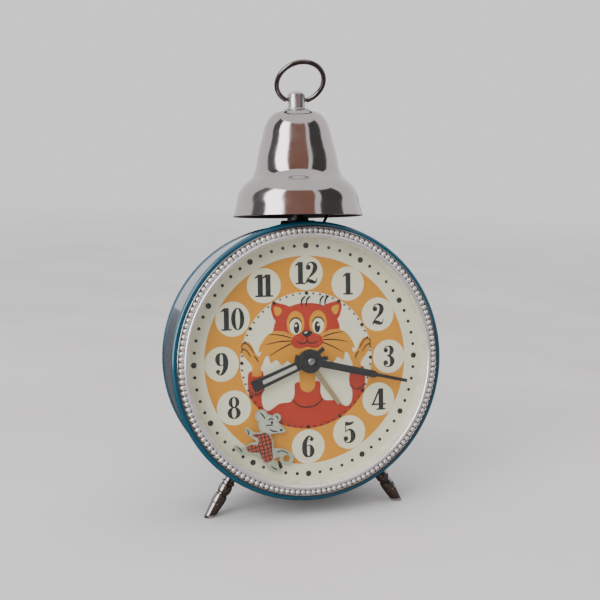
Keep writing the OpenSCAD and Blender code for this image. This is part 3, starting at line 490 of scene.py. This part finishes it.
def numeral_one():
    flag = [(0.0, 0.80), (0.15, 0.88), (0.15, 1.0), (0.0, 0.87)]
    return [bar(0.13, 0, 0.365, 1), bar(0.01, 0, 0.48, 0.07), filled(flag)]


def numeral_two():
    return [
        stroke([(0.08, 0.76, 0.05), (0.12, 0.90, 0.05), (0.28, 0.975, 0.06),
                (0.44, 0.89, 0.17), (0.48, 0.73, 0.22), (0.40, 0.53, 0.17),
                (0.23, 0.34, 0.08), (0.09, 0.18, 0.05), (0.045, 0.03, 0.06)]),
        disc(0.155, 0.75, 0.115),
        stroke([(0.04, 0.06, 0.04), (0.14, 0.15, 0.15), (0.31, 0.11, 0.18),
                (0.45, 0.07, 0.12), (0.53, 0.14, 0.06), (0.565, 0.29, 0.035)])]


def numeral_three():
    return [
        stroke([(0.07, 0.80, 0.04), (0.13, 0.93, 0.045), (0.27, 0.977, 0.05),
                (0.41, 0.90, 0.16), (0.44, 0.75, 0.21), (0.36, 0.58, 0.11),
                (0.22, 0.53, 0.045)]),
        stroke([(0.22, 0.53, 0.045), (0.38, 0.48, 0.12), (0.47, 0.29, 0.23),
                (0.41, 0.10, 0.15), (0.26, 0.022, 0.05), (0.11, 0.06, 0.05),
                (0.06, 0.17, 0.04)]),
        disc(0.15, 0.79, 0.105), disc(0.14, 0.21, 0.115)]


def numeral_four():
    return [bar(0.35, 0, 0.58, 1), bar(0.24, 0, 0.69, 0.07), bar(0.0, 0.23, 0.69, 0.31),
            filled([(0.0, 0.23), (0.10, 0.23), (0.45, 1.0), (0.36, 1.0)])]


def numeral_five():
    return [
        filled([(0.10, 1.0), (0.10, 0.82), (0.22, 0.80), (0.36, 0.82), (0.50, 0.90),
                (0.54, 1.02), (0.46, 0.97), (0.30, 0.955)]),
        bar(0.10, 0.50, 0.145, 0.98),
        stroke([(0.12, 0.51, 0.045), (0.24, 0.61, 0.06), (0.38, 0.59, 0.13),
                (0.48, 0.42, 0.22), (0.48, 0.23, 0.23), (0.39, 0.07, 0.13),
                (0.25, 0.022, 0.05), (0.11, 0.06, 0.05), (0.05, 0.18, 0.04)]),
        disc(0.135, 0.21, 0.115)]


def numeral_six():
    return [
        stroke([(0.52, 0.86, 0.05), (0.42, 0.965, 0.05), (0.28, 0.92, 0.12),
                (0.15, 0.68, 0.21), (0.13, 0.36, 0.24), (0.19, 0.11, 0.16),
                (0.33, 0.022, 0.05)]),
        stroke([(0.33, 0.022, 0.05), (0.45, 0.11, 0.16), (0.49, 0.30, 0.22),
                (0.45, 0.48, 0.14), (0.35, 0.565, 0.045), (0.24, 0.52, 0.04)]),
        disc(0.475, 0.83, 0.095)]


def numeral_nine():
    return [moved(s, 0.62, 1.0, flip=True) for s in numeral_six()]


def numeral_eight():
    return [numeral_ring(0.3, 0.75, 0.245, 0.25, 0.17, 0.045),
            numeral_ring(0.3, 0.27, 0.3, 0.27, 0.2, 0.045)]


def numeral_zero():
    return [numeral_ring(0.3, 0.5, 0.3, 0.5, 0.2, 0.045)]


NUMERAL_HEIGHT = 8.5

# How each figure is drawn, and its width
GLYPHS = {"0": (numeral_zero, 0.60), "1": (numeral_one, 0.36), "2": (numeral_two, 0.58),
          "3": (numeral_three, 0.59), "4": (numeral_four, 0.68), "5": (numeral_five, 0.60),
          "6": (numeral_six, 0.62), "8": (numeral_eight, 0.60), "9": (numeral_nine, 0.62)}
LAST_ONE_WIDTH = 0.47           # a 1 that ends a number shows its whole foot
AFTER_ONE = 0.46                # room that a 1 takes before a wider figure


def numeral(text, x, z):
    """A number centred at (x, z) in fat upright figures."""
    shapes, pen = [], 0.0
    for i, figure in enumerate(text):
        draw, width = GLYPHS[figure]
        shapes += [moved(s, pen) for s in draw()]
        if figure == "1":
            if i == len(text) - 1:
                width = LAST_ONE_WIDTH
            elif text[i + 1] != "1":
                width = AFTER_ONE
        pen += width
    left, low = x - pen * NUMERAL_HEIGHT / 2, z - NUMERAL_HEIGHT / 2
    return [moved(s, left, low, NUMERAL_HEIGHT) for s in shapes]


# ---- Dial ----

HOURS = 12
OUTER_DOTS_R = 44.0
OUTER_DOT = (1.12, 0.66)        # a dot's radius at the hours, and at the other minutes
INNER_DOTS_R = 25.8
INNER_DOT = (0.7, 0.38)
ORANGE_OUTER_R = 40.1
ORANGE_INNER_R = 26.4
NUMERAL_DISC_R = 6.6
NUMERAL_DISCS_AT = 33.5
MOUSE_HOUR = 7                  # the mouse stands in this hour's place, so it has no numeral


def at_hour(hour, r):
    """Place on the dial at an hour, which may be a fraction, and a radius."""
    a = math.radians(90 - 360 / HOURS * hour)
    return r * math.cos(a), r * math.sin(a)


def dots(r, hour_r, minute_r):
    return [disc(*at_hour(minute / 5, r), minute_r if minute % 5 else hour_r, 20)
            for minute in range(60)]


def make_dial_rings():
    hours = [h for h in range(1, HOURS + 1) if h != MOUSE_HOUR]
    dial_layer("dial_orange_ring", 1, [ring(0, 0, ORANGE_OUTER_R, ORANGE_INNER_R)], ORANGE_INK)
    dial_layer("dial_numeral_discs", 2,
               [disc(*at_hour(h, NUMERAL_DISCS_AT), NUMERAL_DISC_R, 64) for h in hours],
               CREAM_INK)
    dial_layer("dial_numerals", 3,
               [s for h in hours for s in numeral(str(h), *at_hour(h, NUMERAL_DISCS_AT))],
               BLACK_INK)
    dial_layer("dial_minute_dots", 2, dots(OUTER_DOTS_R, *OUTER_DOT), BLACK_INK)
    dial_layer("dial_inner_dots", 9, dots(INNER_DOTS_R, *INNER_DOT), BLACK_INK)


make_dial_rings()


# ---- Cat on the dial: a plain cartoon cat with raised paws and a red jersey ----

ON_MIDDLE_LINE = 1e-6


def mirrored(points):
    """The same points reflected left to right, in reverse order."""
    return [(-x, *rest) for x, *rest in reversed(points)]


def both_sides(half):
    """Half an outline and its mirror image, with the points on the middle line kept once."""
    return half + [p for p in mirrored(half) if abs(p[0]) > ON_MIDDLE_LINE]


def make_cat():
    sleeve_arc = arc(0, 0, ORANGE_INNER_R, 332, 208, 40)
    inner_left = smooth_open([
        (-17.6, -3.4), (-16.9, -9.2), (-18.2, -13.0), (-17.6, -17.2), (-15.4, -18.6),
        (-11.2, -16.2), (-6.9, -15.7), (-5.3, -13.0), (-5.2, -9.2), (-4.2, -8.3), (-3.0, -8.3)])
    cuff_left = [(-23.3, -12.0), (-23.6, -8.0), (-23.5, -4.4), (-22.6, -3.2)]
    jersey = sleeve_arc + cuff_left + inner_left + mirrored(inner_left) + mirrored(cuff_left)
    dial_layer("cat_jersey", 2, [filled(jersey)], RED_INK)

    neck = [(-3.2, -2.0), (-3.1, -9.4), (-2.0, -11.6), (0, -12.5)]
    dial_layer("cat_neck", 3, [filled(both_sides(smooth_open(neck)))], ORANGE_INK)

    paw = smooth_closed([
        (-21.6, -5.0), (-21.9, -1.4), (-24.0, 1.4), (-26.1, 4.6), (-25.6, 7.2), (-23.4, 8.0),
        (-21.6, 6.2), (-20.2, 3.2), (-18.8, 2.4), (-17.9, 4.6), (-16.6, 5.2), (-16.4, 3.0),
        (-17.4, 0.2), (-18.4, -2.4), (-18.3, -5.0)])
    dial_layer("cat_paws", 4, [filled(paw), filled(mirrored(paw))], ORANGE_INK)

    ear = smooth_closed([(-12.2, 15.4), (-14.1, 19.4), (-13.6, 22.4), (-10.8, 22.2),
                         (-6.6, 20.4), (-7.6, 15.6)], 6)
    skull = smooth_closed([(-12.9, 9.8), (-12.7, 14.6), (-9.6, 19.4), (-4.4, 21.6), (0, 22.0),
                           (4.4, 21.6), (9.6, 19.4), (12.7, 14.6), (12.9, 9.8), (8, 4.6),
                           (0, 3.2), (-8, 4.6)])
    dial_layer("cat_ears", 2, [filled(ear), filled(mirrored(ear))], RED_INK)
    dial_layer("cat_skull", 3, [filled(skull)], RED_INK)
    inner_ear = smooth_closed([(-12.5, 18.0), (-12.9, 20.8), (-10.8, 20.6), (-9.9, 19.2),
                               (-11.2, 17.4)], 5)
    dial_layer("cat_inner_ears", 4, [filled(inner_ear), filled(mirrored(inner_ear))],
               ORANGE_INK)

    tufts = [(0, 9.6), (5.0, 9.4), (9.0, 11.4), (13.2, 11.7), (16.4, 9.6), (18.6, 6.4),
             (19.4, 3.8), (17.6, 4.4), (17.9, 1.4), (15.4, 2.6), (14.6, -0.6), (12.2, 0.8),
             (10.2, -1.6), (8.0, 0.2), (5.4, -1.8), (3.0, -0.2), (0, -1.4)]
    cheeks = both_sides(tufts)
    dial_layer("cat_cheeks", 5, [filled(cheeks)], ORANGE_INK)

    eye_x, eye_z = 4.5, 13.6
    eyes = [(-eye_x, 1), (eye_x, -1)]
    dial_layer("cat_eye_patches", 4, [oval(x, eye_z + 0.6, 3.5, 4.9) for x, _ in eyes],
               ORANGE_INK)
    dial_layer("cat_eye_whites", 6, [oval(x, eye_z - 0.5, 2.3, 3.0) for x, _ in eyes],
               CREAM_INK)
    dial_layer("cat_pupils", 7, [oval(x + 0.35 * s, eye_z - 0.9, 1.15, 2.2) for x, s in eyes],
               BLACK_INK)
    dial_layer("cat_eye_glints", 8, [disc(x + 0.1, eye_z - 0.1, 0.5, 16) for x, _ in eyes],
               CREAM_INK)

    muzzle = both_sides(smooth_open([(0, 10.6), (3.2, 10.4), (6.0, 8.6), (6.2, 6.2),
                                     (3.6, 4.6), (0, 5.2)]))
    dial_layer("cat_muzzle", 6, [filled(muzzle)], RED_INK)
    nose = both_sides(smooth_open([(0, 11.4), (1.5, 11.3), (2.2, 10.5), (1.2, 9.4), (0, 8.8)]))
    mouth_half = [(0, 8.9, 0.35), (0.1, 7.4, 0.4), (1.5, 6.5, 0.5), (3.4, 6.9, 0.4),
                  (4.2, 7.8, 0.2)]
    dial_layer("cat_nose_and_mouth", 7,
               [filled(nose), stroke(mouth_half), stroke(mirrored(mouth_half))], BLACK_INK)
    dial_layer("cat_nose_glint", 8, [oval(-0.5, 10.7, 0.7, 0.25, 16, 15)], CREAM_INK)

    whiskers = [[(6.4, 8.8, 0.45), (10.4, 10.0, 0.4), (15.4, 10.6, 0.15)],
                [(6.6, 7.7, 0.45), (11.0, 7.6, 0.4), (16.4, 6.6, 0.15)],
                [(6.2, 6.7, 0.45), (10.2, 5.0, 0.4), (14.8, 2.4, 0.15)]]
    brow = [(3.0, 24.6, 0.55), (1.7, 23.2, 0.6), (1.4, 20.8, 0.25)]
    brows = [[(x + shift, z, w) for x, z, w in brow] for shift in (-3.6, -1.6, 3.9, 5.9)]
    lids = [[(x - 2.5, eye_z + 1.0, 0.3), (x - 1.2, eye_z + 2.5, 0.5), (x, eye_z + 2.8, 0.55),
             (x + 1.2, eye_z + 2.5, 0.5), (x + 2.5, eye_z + 1.0, 0.3)] for x, _ in eyes]
    fingers = [[(-26.0, 5.4, 0.25), (-25.2, 7.4, 0.4), (-23.2, 6.9, 0.4), (-21.2, 3.8, 0.3)],
               [(-26.2, 3.6, 0.25), (-25.2, 5.2, 0.4), (-23.8, 4.6, 0.4), (-22.4, 2.4, 0.3)],
               [(-21.0, 2.6, 0.4), (-20.0, 1.4, 0.45), (-19.4, 0.0, 0.3)]]
    seams = [[(-23.4, -10.4, 0.3), (-20.4, -12.3, 0.4), (-17.1, -10.6, 0.3)]]
    collar = [(-6.2, -14.9, 0.3), (-3.4, -17.4, 0.42), (0, -18.2, 0.45), (3.4, -17.4, 0.42),
              (6.2, -14.9, 0.3)]
    one_sided = whiskers + fingers + seams
    lines = one_sided + [mirrored(line) for line in one_sided] + brows + lids + [collar]
    dial_layer("cat_lines", 9, [stroke(line) for line in lines], BLACK_INK)


make_cat()


# ---- Mouse: printing on the cut-out figure ----

MOUSE_FRONT_Y = -2.0
MOUSE_LINE = 1.5                # the mouse's lines are drawn this much bolder than listed


def mouse_layer(name, level, shapes, look):
    front = MOUSE_FRONT_Y - level * INK_STEP
    solid = join([sheet(s, front, MOUSE_FRONT_Y) for s in shapes])
    new_piece(name, *solid, look, "mouse_rocker", "mouse_paint", smooth_angle=INK_SMOOTH_ANGLE)


def make_mouse_print():
    trousers = smooth_closed([
        (-19.6, -26.9), (-17.0, -26.7), (-15.0, -29.6), (-14.9, -33.6), (-14.8, -37.0),
        (-17.2, -38.1), (-18.9, -36.4), (-20.2, -34.2), (-23.6, -33.7), (-25.0, -31.9),
        (-23.0, -30.8), (-20.6, -31.0), (-20.4, -28.6), (-22.4, -27.6), (-22.0, -26.8)])
    mouse_layer("mouse_clothes", 1, [filled(trousers)], GINGHAM)
    face = smooth_closed([(-18.4, -21.2), (-15.6, -20.6), (-13.2, -22.8), (-10.8, -25.6),
                          (-10.8, -26.5), (-13.6, -26.7), (-17.2, -26.6), (-19.2, -24.8),
                          (-19.4, -22.6)])
    mouse_layer("mouse_face", 1, [filled(face), disc(-18.9, -20.2, 1.9, 32),
                                  disc(-13.0, -21.2, 1.2, 24)], PALE_INK)
    strokes = [
        [(-19.6, -18.7, 0.2), (-18.4, -19.9, 0.4), (-17.5, -21.3, 0.25)],
        [(-13.6, -20.4, 0.2), (-12.6, -21.0, 0.35), (-12.6, -22.0, 0.2)],
        [(-17.4, -24.0, 0.2), (-15.8, -23.8, 0.35), (-14.4, -24.0, 0.2)],
        [(-15.9, -25.4, 0.2), (-14.5, -26.2, 0.4), (-12.6, -26.3, 0.2)],
        [(-16.4, -22.0, 0.2), (-15.4, -21.4, 0.4), (-14.2, -21.8, 0.2)],
        [(-24.6, -25.0, 0.2), (-23.9, -26.2, 0.35), (-24.3, -27.0, 0.2)],
        [(-13.2, -34.4, 0.2), (-11.0, -34.0, 0.3), (-8.6, -35.2, 0.2)],
        [(-28.6, -31.2, 0.2), (-27.4, -32.2, 0.35), (-26.6, -33.4, 0.2)],
        [(-15.4, -39.4, 0.2), (-14.4, -40.4, 0.35), (-13.0, -41.2, 0.2)]]
    features = [stroke([(x, z, MOUSE_LINE * w) for x, z, w in line]) for line in strokes]
    features += [oval(-14.9, -22.9, 0.45, 0.75, 20), oval(-11.3, -26.0, 0.6, 0.45, 20)]
    mouse_layer("mouse_lines", 2, features, BLACK_INK)


make_mouse_print()


CAP_R = 1.5
CAP_THICKNESS = 0.5


def make_arbor_cap():
    """Printed cap over the end of the arbor that carries the mouse."""
    low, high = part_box("pallet_arbor")
    middle = PLACE.inverted() @ ((Vector(low) + Vector(high)) / 2)
    cap = sheet(disc(middle.x, middle.z, CAP_R, 32), MOUSE_FRONT_Y - CAP_THICKNESS,
                MOUSE_FRONT_Y)
    new_piece("mouse_arbor_cap", *cap, GINGHAM, "mouse_rocker", "mouse_paint")


make_arbor_cap()


# ---- Hands: pale inlay of the hour hand ----

HOUR_HAND_ANGLE = 202
HOUR_HAND_Y = (-2.9, -2.3)
INLAY = (5.5, 19.7, 0.75)       # from, to, half width
INLAY_RECESS = 0.12             # how far the inlay stays behind the hand's faces


def make_inlay():
    start, end, half = INLAY
    a = math.radians(HOUR_HAND_ANGLE)
    corners = [(start, -half), (end, -half), (end, half), (start, half)]
    outline = [(u * math.cos(a) - v * math.sin(a), u * math.sin(a) + v * math.cos(a))
               for u, v in corners]
    solid = sheet(filled(outline), HOUR_HAND_Y[0] + INLAY_RECESS,
                  HOUR_HAND_Y[1] - INLAY_RECESS)
    new_piece("hour_hand_inlay", *solid, LUME, "hour_hand_pipe", "retainer_white")


make_inlay()


# ---- Bezel with its row of beads ----

BEAD_ROW_R = 49.75
BEAD_R = 0.97
BEAD_COUNT = 150
BEAD_Y = -6.55
BEZEL_STEPS = 240


def bead(x, y, z, r, rings=8, segments=14):
    """A small ball, with its poles towards the front and the back."""
    verts = [(x, y - r, z)]
    for i in range(1, rings):
        a = math.pi * i / rings
        for u, v in circle(0, 0, r * math.sin(a), segments):
            verts.append((x + u, y - r * math.cos(a), z + v))
    verts.append((x, y + r, z))
    faces = [(0, 1 + (j + 1) % segments, 1 + j) for j in range(segments)]
    for i in range(rings - 2):
        here, there = 1 + i * segments, 1 + (i + 1) * segments
        faces += [(here + j, here + (j + 1) % segments, there + (j + 1) % segments, there + j)
                  for j in range(segments)]
    last, end = 1 + (rings - 2) * segments, len(verts) - 1
    faces += [(end, last + j, last + (j + 1) % segments) for j in range(segments)]
    return verts, faces


def make_bezel():
    lip = arc(48.0, -6.8, 0.82, 60, 360, 20)
    profile = ([(47.75, -6.12), (48.2, -6.6), (48.7, -6.75), (48.95, -6.35), (49.3, -6.15),
                (50.3, -6.15), (50.6, -6.4)]
               + arc(51.0, -6.55, 0.34, 200, 340, 8)
               + [(51.4, -6.2), (51.35, -6.1), (50.4, -6.05), (50.4, -0.65), (48.75, -0.65),
                  (48.75, -6.0)])
    beads = []
    for i in range(BEAD_COUNT):
        x, z = at_hour(HOURS * i / BEAD_COUNT, BEAD_ROW_R)
        beads.append(bead(x, BEAD_Y, z, BEAD_R))
    piece = new_piece("bezel_profile", *lathe(profile, BEZEL_STEPS), LOOKS["bezel_chrome"], "case",
                      "bezel_chrome")
    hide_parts("bezel_ring")
    # Lip and beads take the lighter chrome, the rest of the ring the darker: painted highlight and painted shade
    # on one chrome ring.
    new_piece("bezel_lip", *lathe(lip, BEZEL_STEPS), LIT_BEAD_SILVER, "case", "bezel_chrome")
    new_piece("bezel_beads", *join(beads), LIT_BEAD_SILVER, "case", "bezel_chrome")


make_bezel()


# ---- Bell ----

BELL_Y = 10
BELL_RIM_Z = 55.6
BELL_WALL = 0.9
BELL_POINTS = [(25.4, 0), (24.1, 4.5), (23.1, 8.9), (20.8, 12.3), (17.7, 15.2), (16.3, 18.6),
               (15.2, 24.4), (13.7, 30.1), (12.1, 35.6), (9.5, 39.2), (5.6, 40.7), (2.0, 41)]
BELL_HOLE_R = 1.7
BELL_SHOULDER = 36              # below it the inner outline drops by less than the wall
# The sheet of painted shade lies this far inside the bell's inner face.
BELL_SHADE_DEPTH = 0.05
BELL_STEPS = 256
CROWN_WASHER_STEPS = 96
CROWN_WASHER = [(3.3, 40.8), (4.9, 40.7), (5.1, 40.95), (5.0, 41.2), (4.6, 41.35), (3.3, 41.45)]


def make_bell():
    outer = smooth_open(BELL_POINTS, 10)
    inner = [(max(r - BELL_WALL, BELL_HOLE_R), h - BELL_WALL * min(1, h / BELL_SHOULDER))
             for r, h in outer]
    lip = [(24.45, -0.05), (24.8, -0.28), (25.25, -0.2)]
    hole = [(BELL_HOLE_R, 41), (BELL_HOLE_R, 40.1)]
    profile = outer + hole + inner[:-1][::-1] + lip
    rim_centre = (0, BELL_Y, BELL_RIM_Z)
    solid = lathe(profile, BELL_STEPS, "Z", rim_centre)
    piece = new_piece("bell_smooth", *solid, LOOKS["bell_chrome"], "case", "bell_chrome")
    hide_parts("bell")
    # Painted shade: a thin dark sheet over the bell's inner chrome face, which is chrome like the outside.
    shade_sheet = [(r - BELL_SHADE_DEPTH, h - BELL_SHADE_DEPTH) for r, h in inner]
    dark = lathe(inner + shade_sheet[::-1], BELL_STEPS, "Z", rim_centre)
    new_piece("bell_shade_sheet", *dark, BELL_SHADE_LOOK, "case", "bell_chrome")
    washer = lathe(CROWN_WASHER, CROWN_WASHER_STEPS, "Z", rim_centre)
    new_piece("bell_crown_washer", *washer, FINIAL_STEEL, "case", "leg_chrome")


make_bell()


# ---- CAD parts that stay: each gets the look of its slot, or its own ----

CAD_SMOOTH_ANGLE = 30
NODE_LOOKS = {"finial": FINIAL_STEEL, "hammer_arm": LOOKS["dark_steel"]}


def dress_cad_parts():
    slots = {s["node"]: s["material_slot"] for s in frame["record"]["subparts"]}
    for name, part in frame["nodes"].items():
        look = NODE_LOOKS.get(name, LOOKS[slots[name]])
        part.data.materials.clear()
        part.data.materials.append(look)
        part.data.shade_smooth()
        part.data.set_sharp_from_angle(angle=math.radians(CAD_SMOOTH_ANGLE))


dress_cad_parts()


# ---- Studio ----

WALL = (0.80, 0.785, 0.80)
WALL_GLOW = 1.3
FLOOR_TONE = (0.70, 0.68, 0.67)
FLOOR_R = 40.0
FLOOR_FADE = (0.2, 1.5)         # the floor starts to fade here, and is all wall tone there
FLOOR_SIDES = 96


def staged(name, verts, faces, look):
    mesh = bpy.data.meshes.new(name)
    mesh.from_pydata(verts, [], faces)
    mesh.materials.append(look)
    mesh.shade_smooth()
    made = bpy.data.objects.new(name, mesh)
    scene.collection.objects.link(made)
    return made


def make_floor():
    """Pale floor that fades into the wall's tone, so that no horizon shows."""
    look = finish("pale_floor", FLOOR_TONE, 0.42, tone=0.02, blotch=90, bump=0.02)
    tree = look.node_tree
    place = node(tree, "ShaderNodeTexCoord").outputs["Object"]
    reach = node(tree, "ShaderNodeVectorMath", {"operation": "LENGTH"}, Vector=place)
    fade = node(tree, "ShaderNodeMapRange", {"interpolation_type": "SMOOTHSTEP"},
                Value=reach.outputs["Value"], From_Min=FLOOR_FADE[0],
                From_Max=FLOOR_FADE[1]).outputs[0]
    wall = node(tree, "ShaderNodeEmission", Color=(*WALL, 1), Strength=WALL_GLOW)
    mix = node(tree, "ShaderNodeMixShader", Fac=fade)
    tree.links.new(tree.nodes["Principled BSDF"].outputs[0], mix.inputs[1])
    tree.links.new(wall.outputs[0], mix.inputs[2])
    tree.links.new(mix.outputs[0], tree.nodes["Material Output"].inputs["Surface"])
    rim = circle(0, 0, FLOOR_R, FLOOR_SIDES)
    staged("floor", [(x, y, 0) for x, y in rim], [tuple(range(len(rim)))], look)


def mirror_only(name, verts, faces, colour, glow):
    """A surface that shows in reflections and nowhere else."""
    look = bpy.data.materials.new(name)
    look.use_nodes = True
    shader = look.node_tree.nodes["Principled BSDF"]
    shader.inputs["Base Color"].default_value = (*colour, 1)
    shader.inputs["Roughness"].default_value = 1.0
    shader.inputs["Emission Color"].default_value = (*colour, 1)
    shader.inputs["Emission Strength"].default_value = glow
    made = staged(name, verts, faces, look)
    made.visible_camera = False
    made.visible_diffuse = False
    made.visible_shadow = False
    made.visible_transmission = False


CARD_DISTANCE = 1.3
CARD_STEPS = 8
NEAR_CARD = 1.28                # a card at this distance stands in front of the others

# From azimuth, to azimuth, bottom, top, colour, glow and, if it isn't the usual one, distance
CARDS = {
    "card_dark_left": (-113, -86, 0.0, 1.65, (0.06, 0.06, 0.065), 0.5),
    "card_window": (-84, -49, 0.0, 1.75, (1.0, 1.0, 1.0), 4.4),
    "card_brown": (-46, 19, 0.0, 1.7, (0.16, 0.082, 0.062), 0.8),
    "card_room": (-46, 45, 0.0, 0.46, (0.02, 0.017, 0.015), 0.1, NEAR_CARD),
    "card_dark_right": (31, 80, 0.0, 1.6, (0.04, 0.04, 0.04), 0.4),
    "card_dark_side": (80, 150, 0.0, 0.12, (0.04, 0.04, 0.04), 0.4),
}
TABLE_BROWN = (0.075, 0.052, 0.044)
TABLE_GLOW = 0.35
TABLE_R = 1.28
TABLE_SIDES = 72
TABLE_Z = 0.001                 # just above the floor


def card(name, start, end, low, high, colour, glow, distance=CARD_DISTANCE):
    """Upright card round the clock, between two azimuths in degrees: 0 is the clock's front,
    positive to the right."""
    verts, faces = [], []
    for i in range(CARD_STEPS + 1):
        a = math.radians(start + (end - start) * i / CARD_STEPS)
        for z in (low, high):
            verts.append((distance * math.sin(a), -distance * math.cos(a), z))
    for i in range(CARD_STEPS):
        faces.append((2 * i, 2 * i + 2, 2 * i + 3, 2 * i + 1))
    mirror_only(name, verts, faces, colour, glow)


def make_cards():
    for name, values in CARDS.items():
        card(name, *values)
    rim = circle(0, 0, TABLE_R, TABLE_SIDES)
    mirror_only("card_table", [(x, y, TABLE_Z) for x, y in rim], [tuple(range(len(rim)))],
                TABLE_BROWN, TABLE_GLOW)


# Where each lamp stands, what it points at, its two sides and its power in watts
LAMPS = {
    "window_light": ((-1.1, -0.75, 1.0), (0, 0, 0.06), (1.0, 1.2), 20),
    "top_light": ((0.1, 0.1, 1.6), (0, 0, 0), (1.6, 1.6), 10),
}


def area_light(name, place, aim, size, power):
    data = bpy.data.lights.new(name, "AREA")
    data.shape = "RECTANGLE"
    data.size, data.size_y = size
    data.energy = power
    lamp = bpy.data.objects.new(name, data)
    lamp.location = place
    lamp.rotation_euler = (Vector(aim) - Vector(place)).to_track_quat("-Z", "Y").to_euler()
    scene.collection.objects.link(lamp)
    lamp.visible_camera = False
    lamp.visible_glossy = False


def make_light():
    for name, values in LAMPS.items():
        area_light(name, *values)
    world = bpy.data.worlds.new("studio")
    scene.world = world
    world.use_nodes = True
    sky = world.node_tree.nodes["Background"]
    sky.inputs["Color"].default_value = (*WALL, 1)
    sky.inputs["Strength"].default_value = WALL_GLOW


make_floor()
make_cards()
make_light()
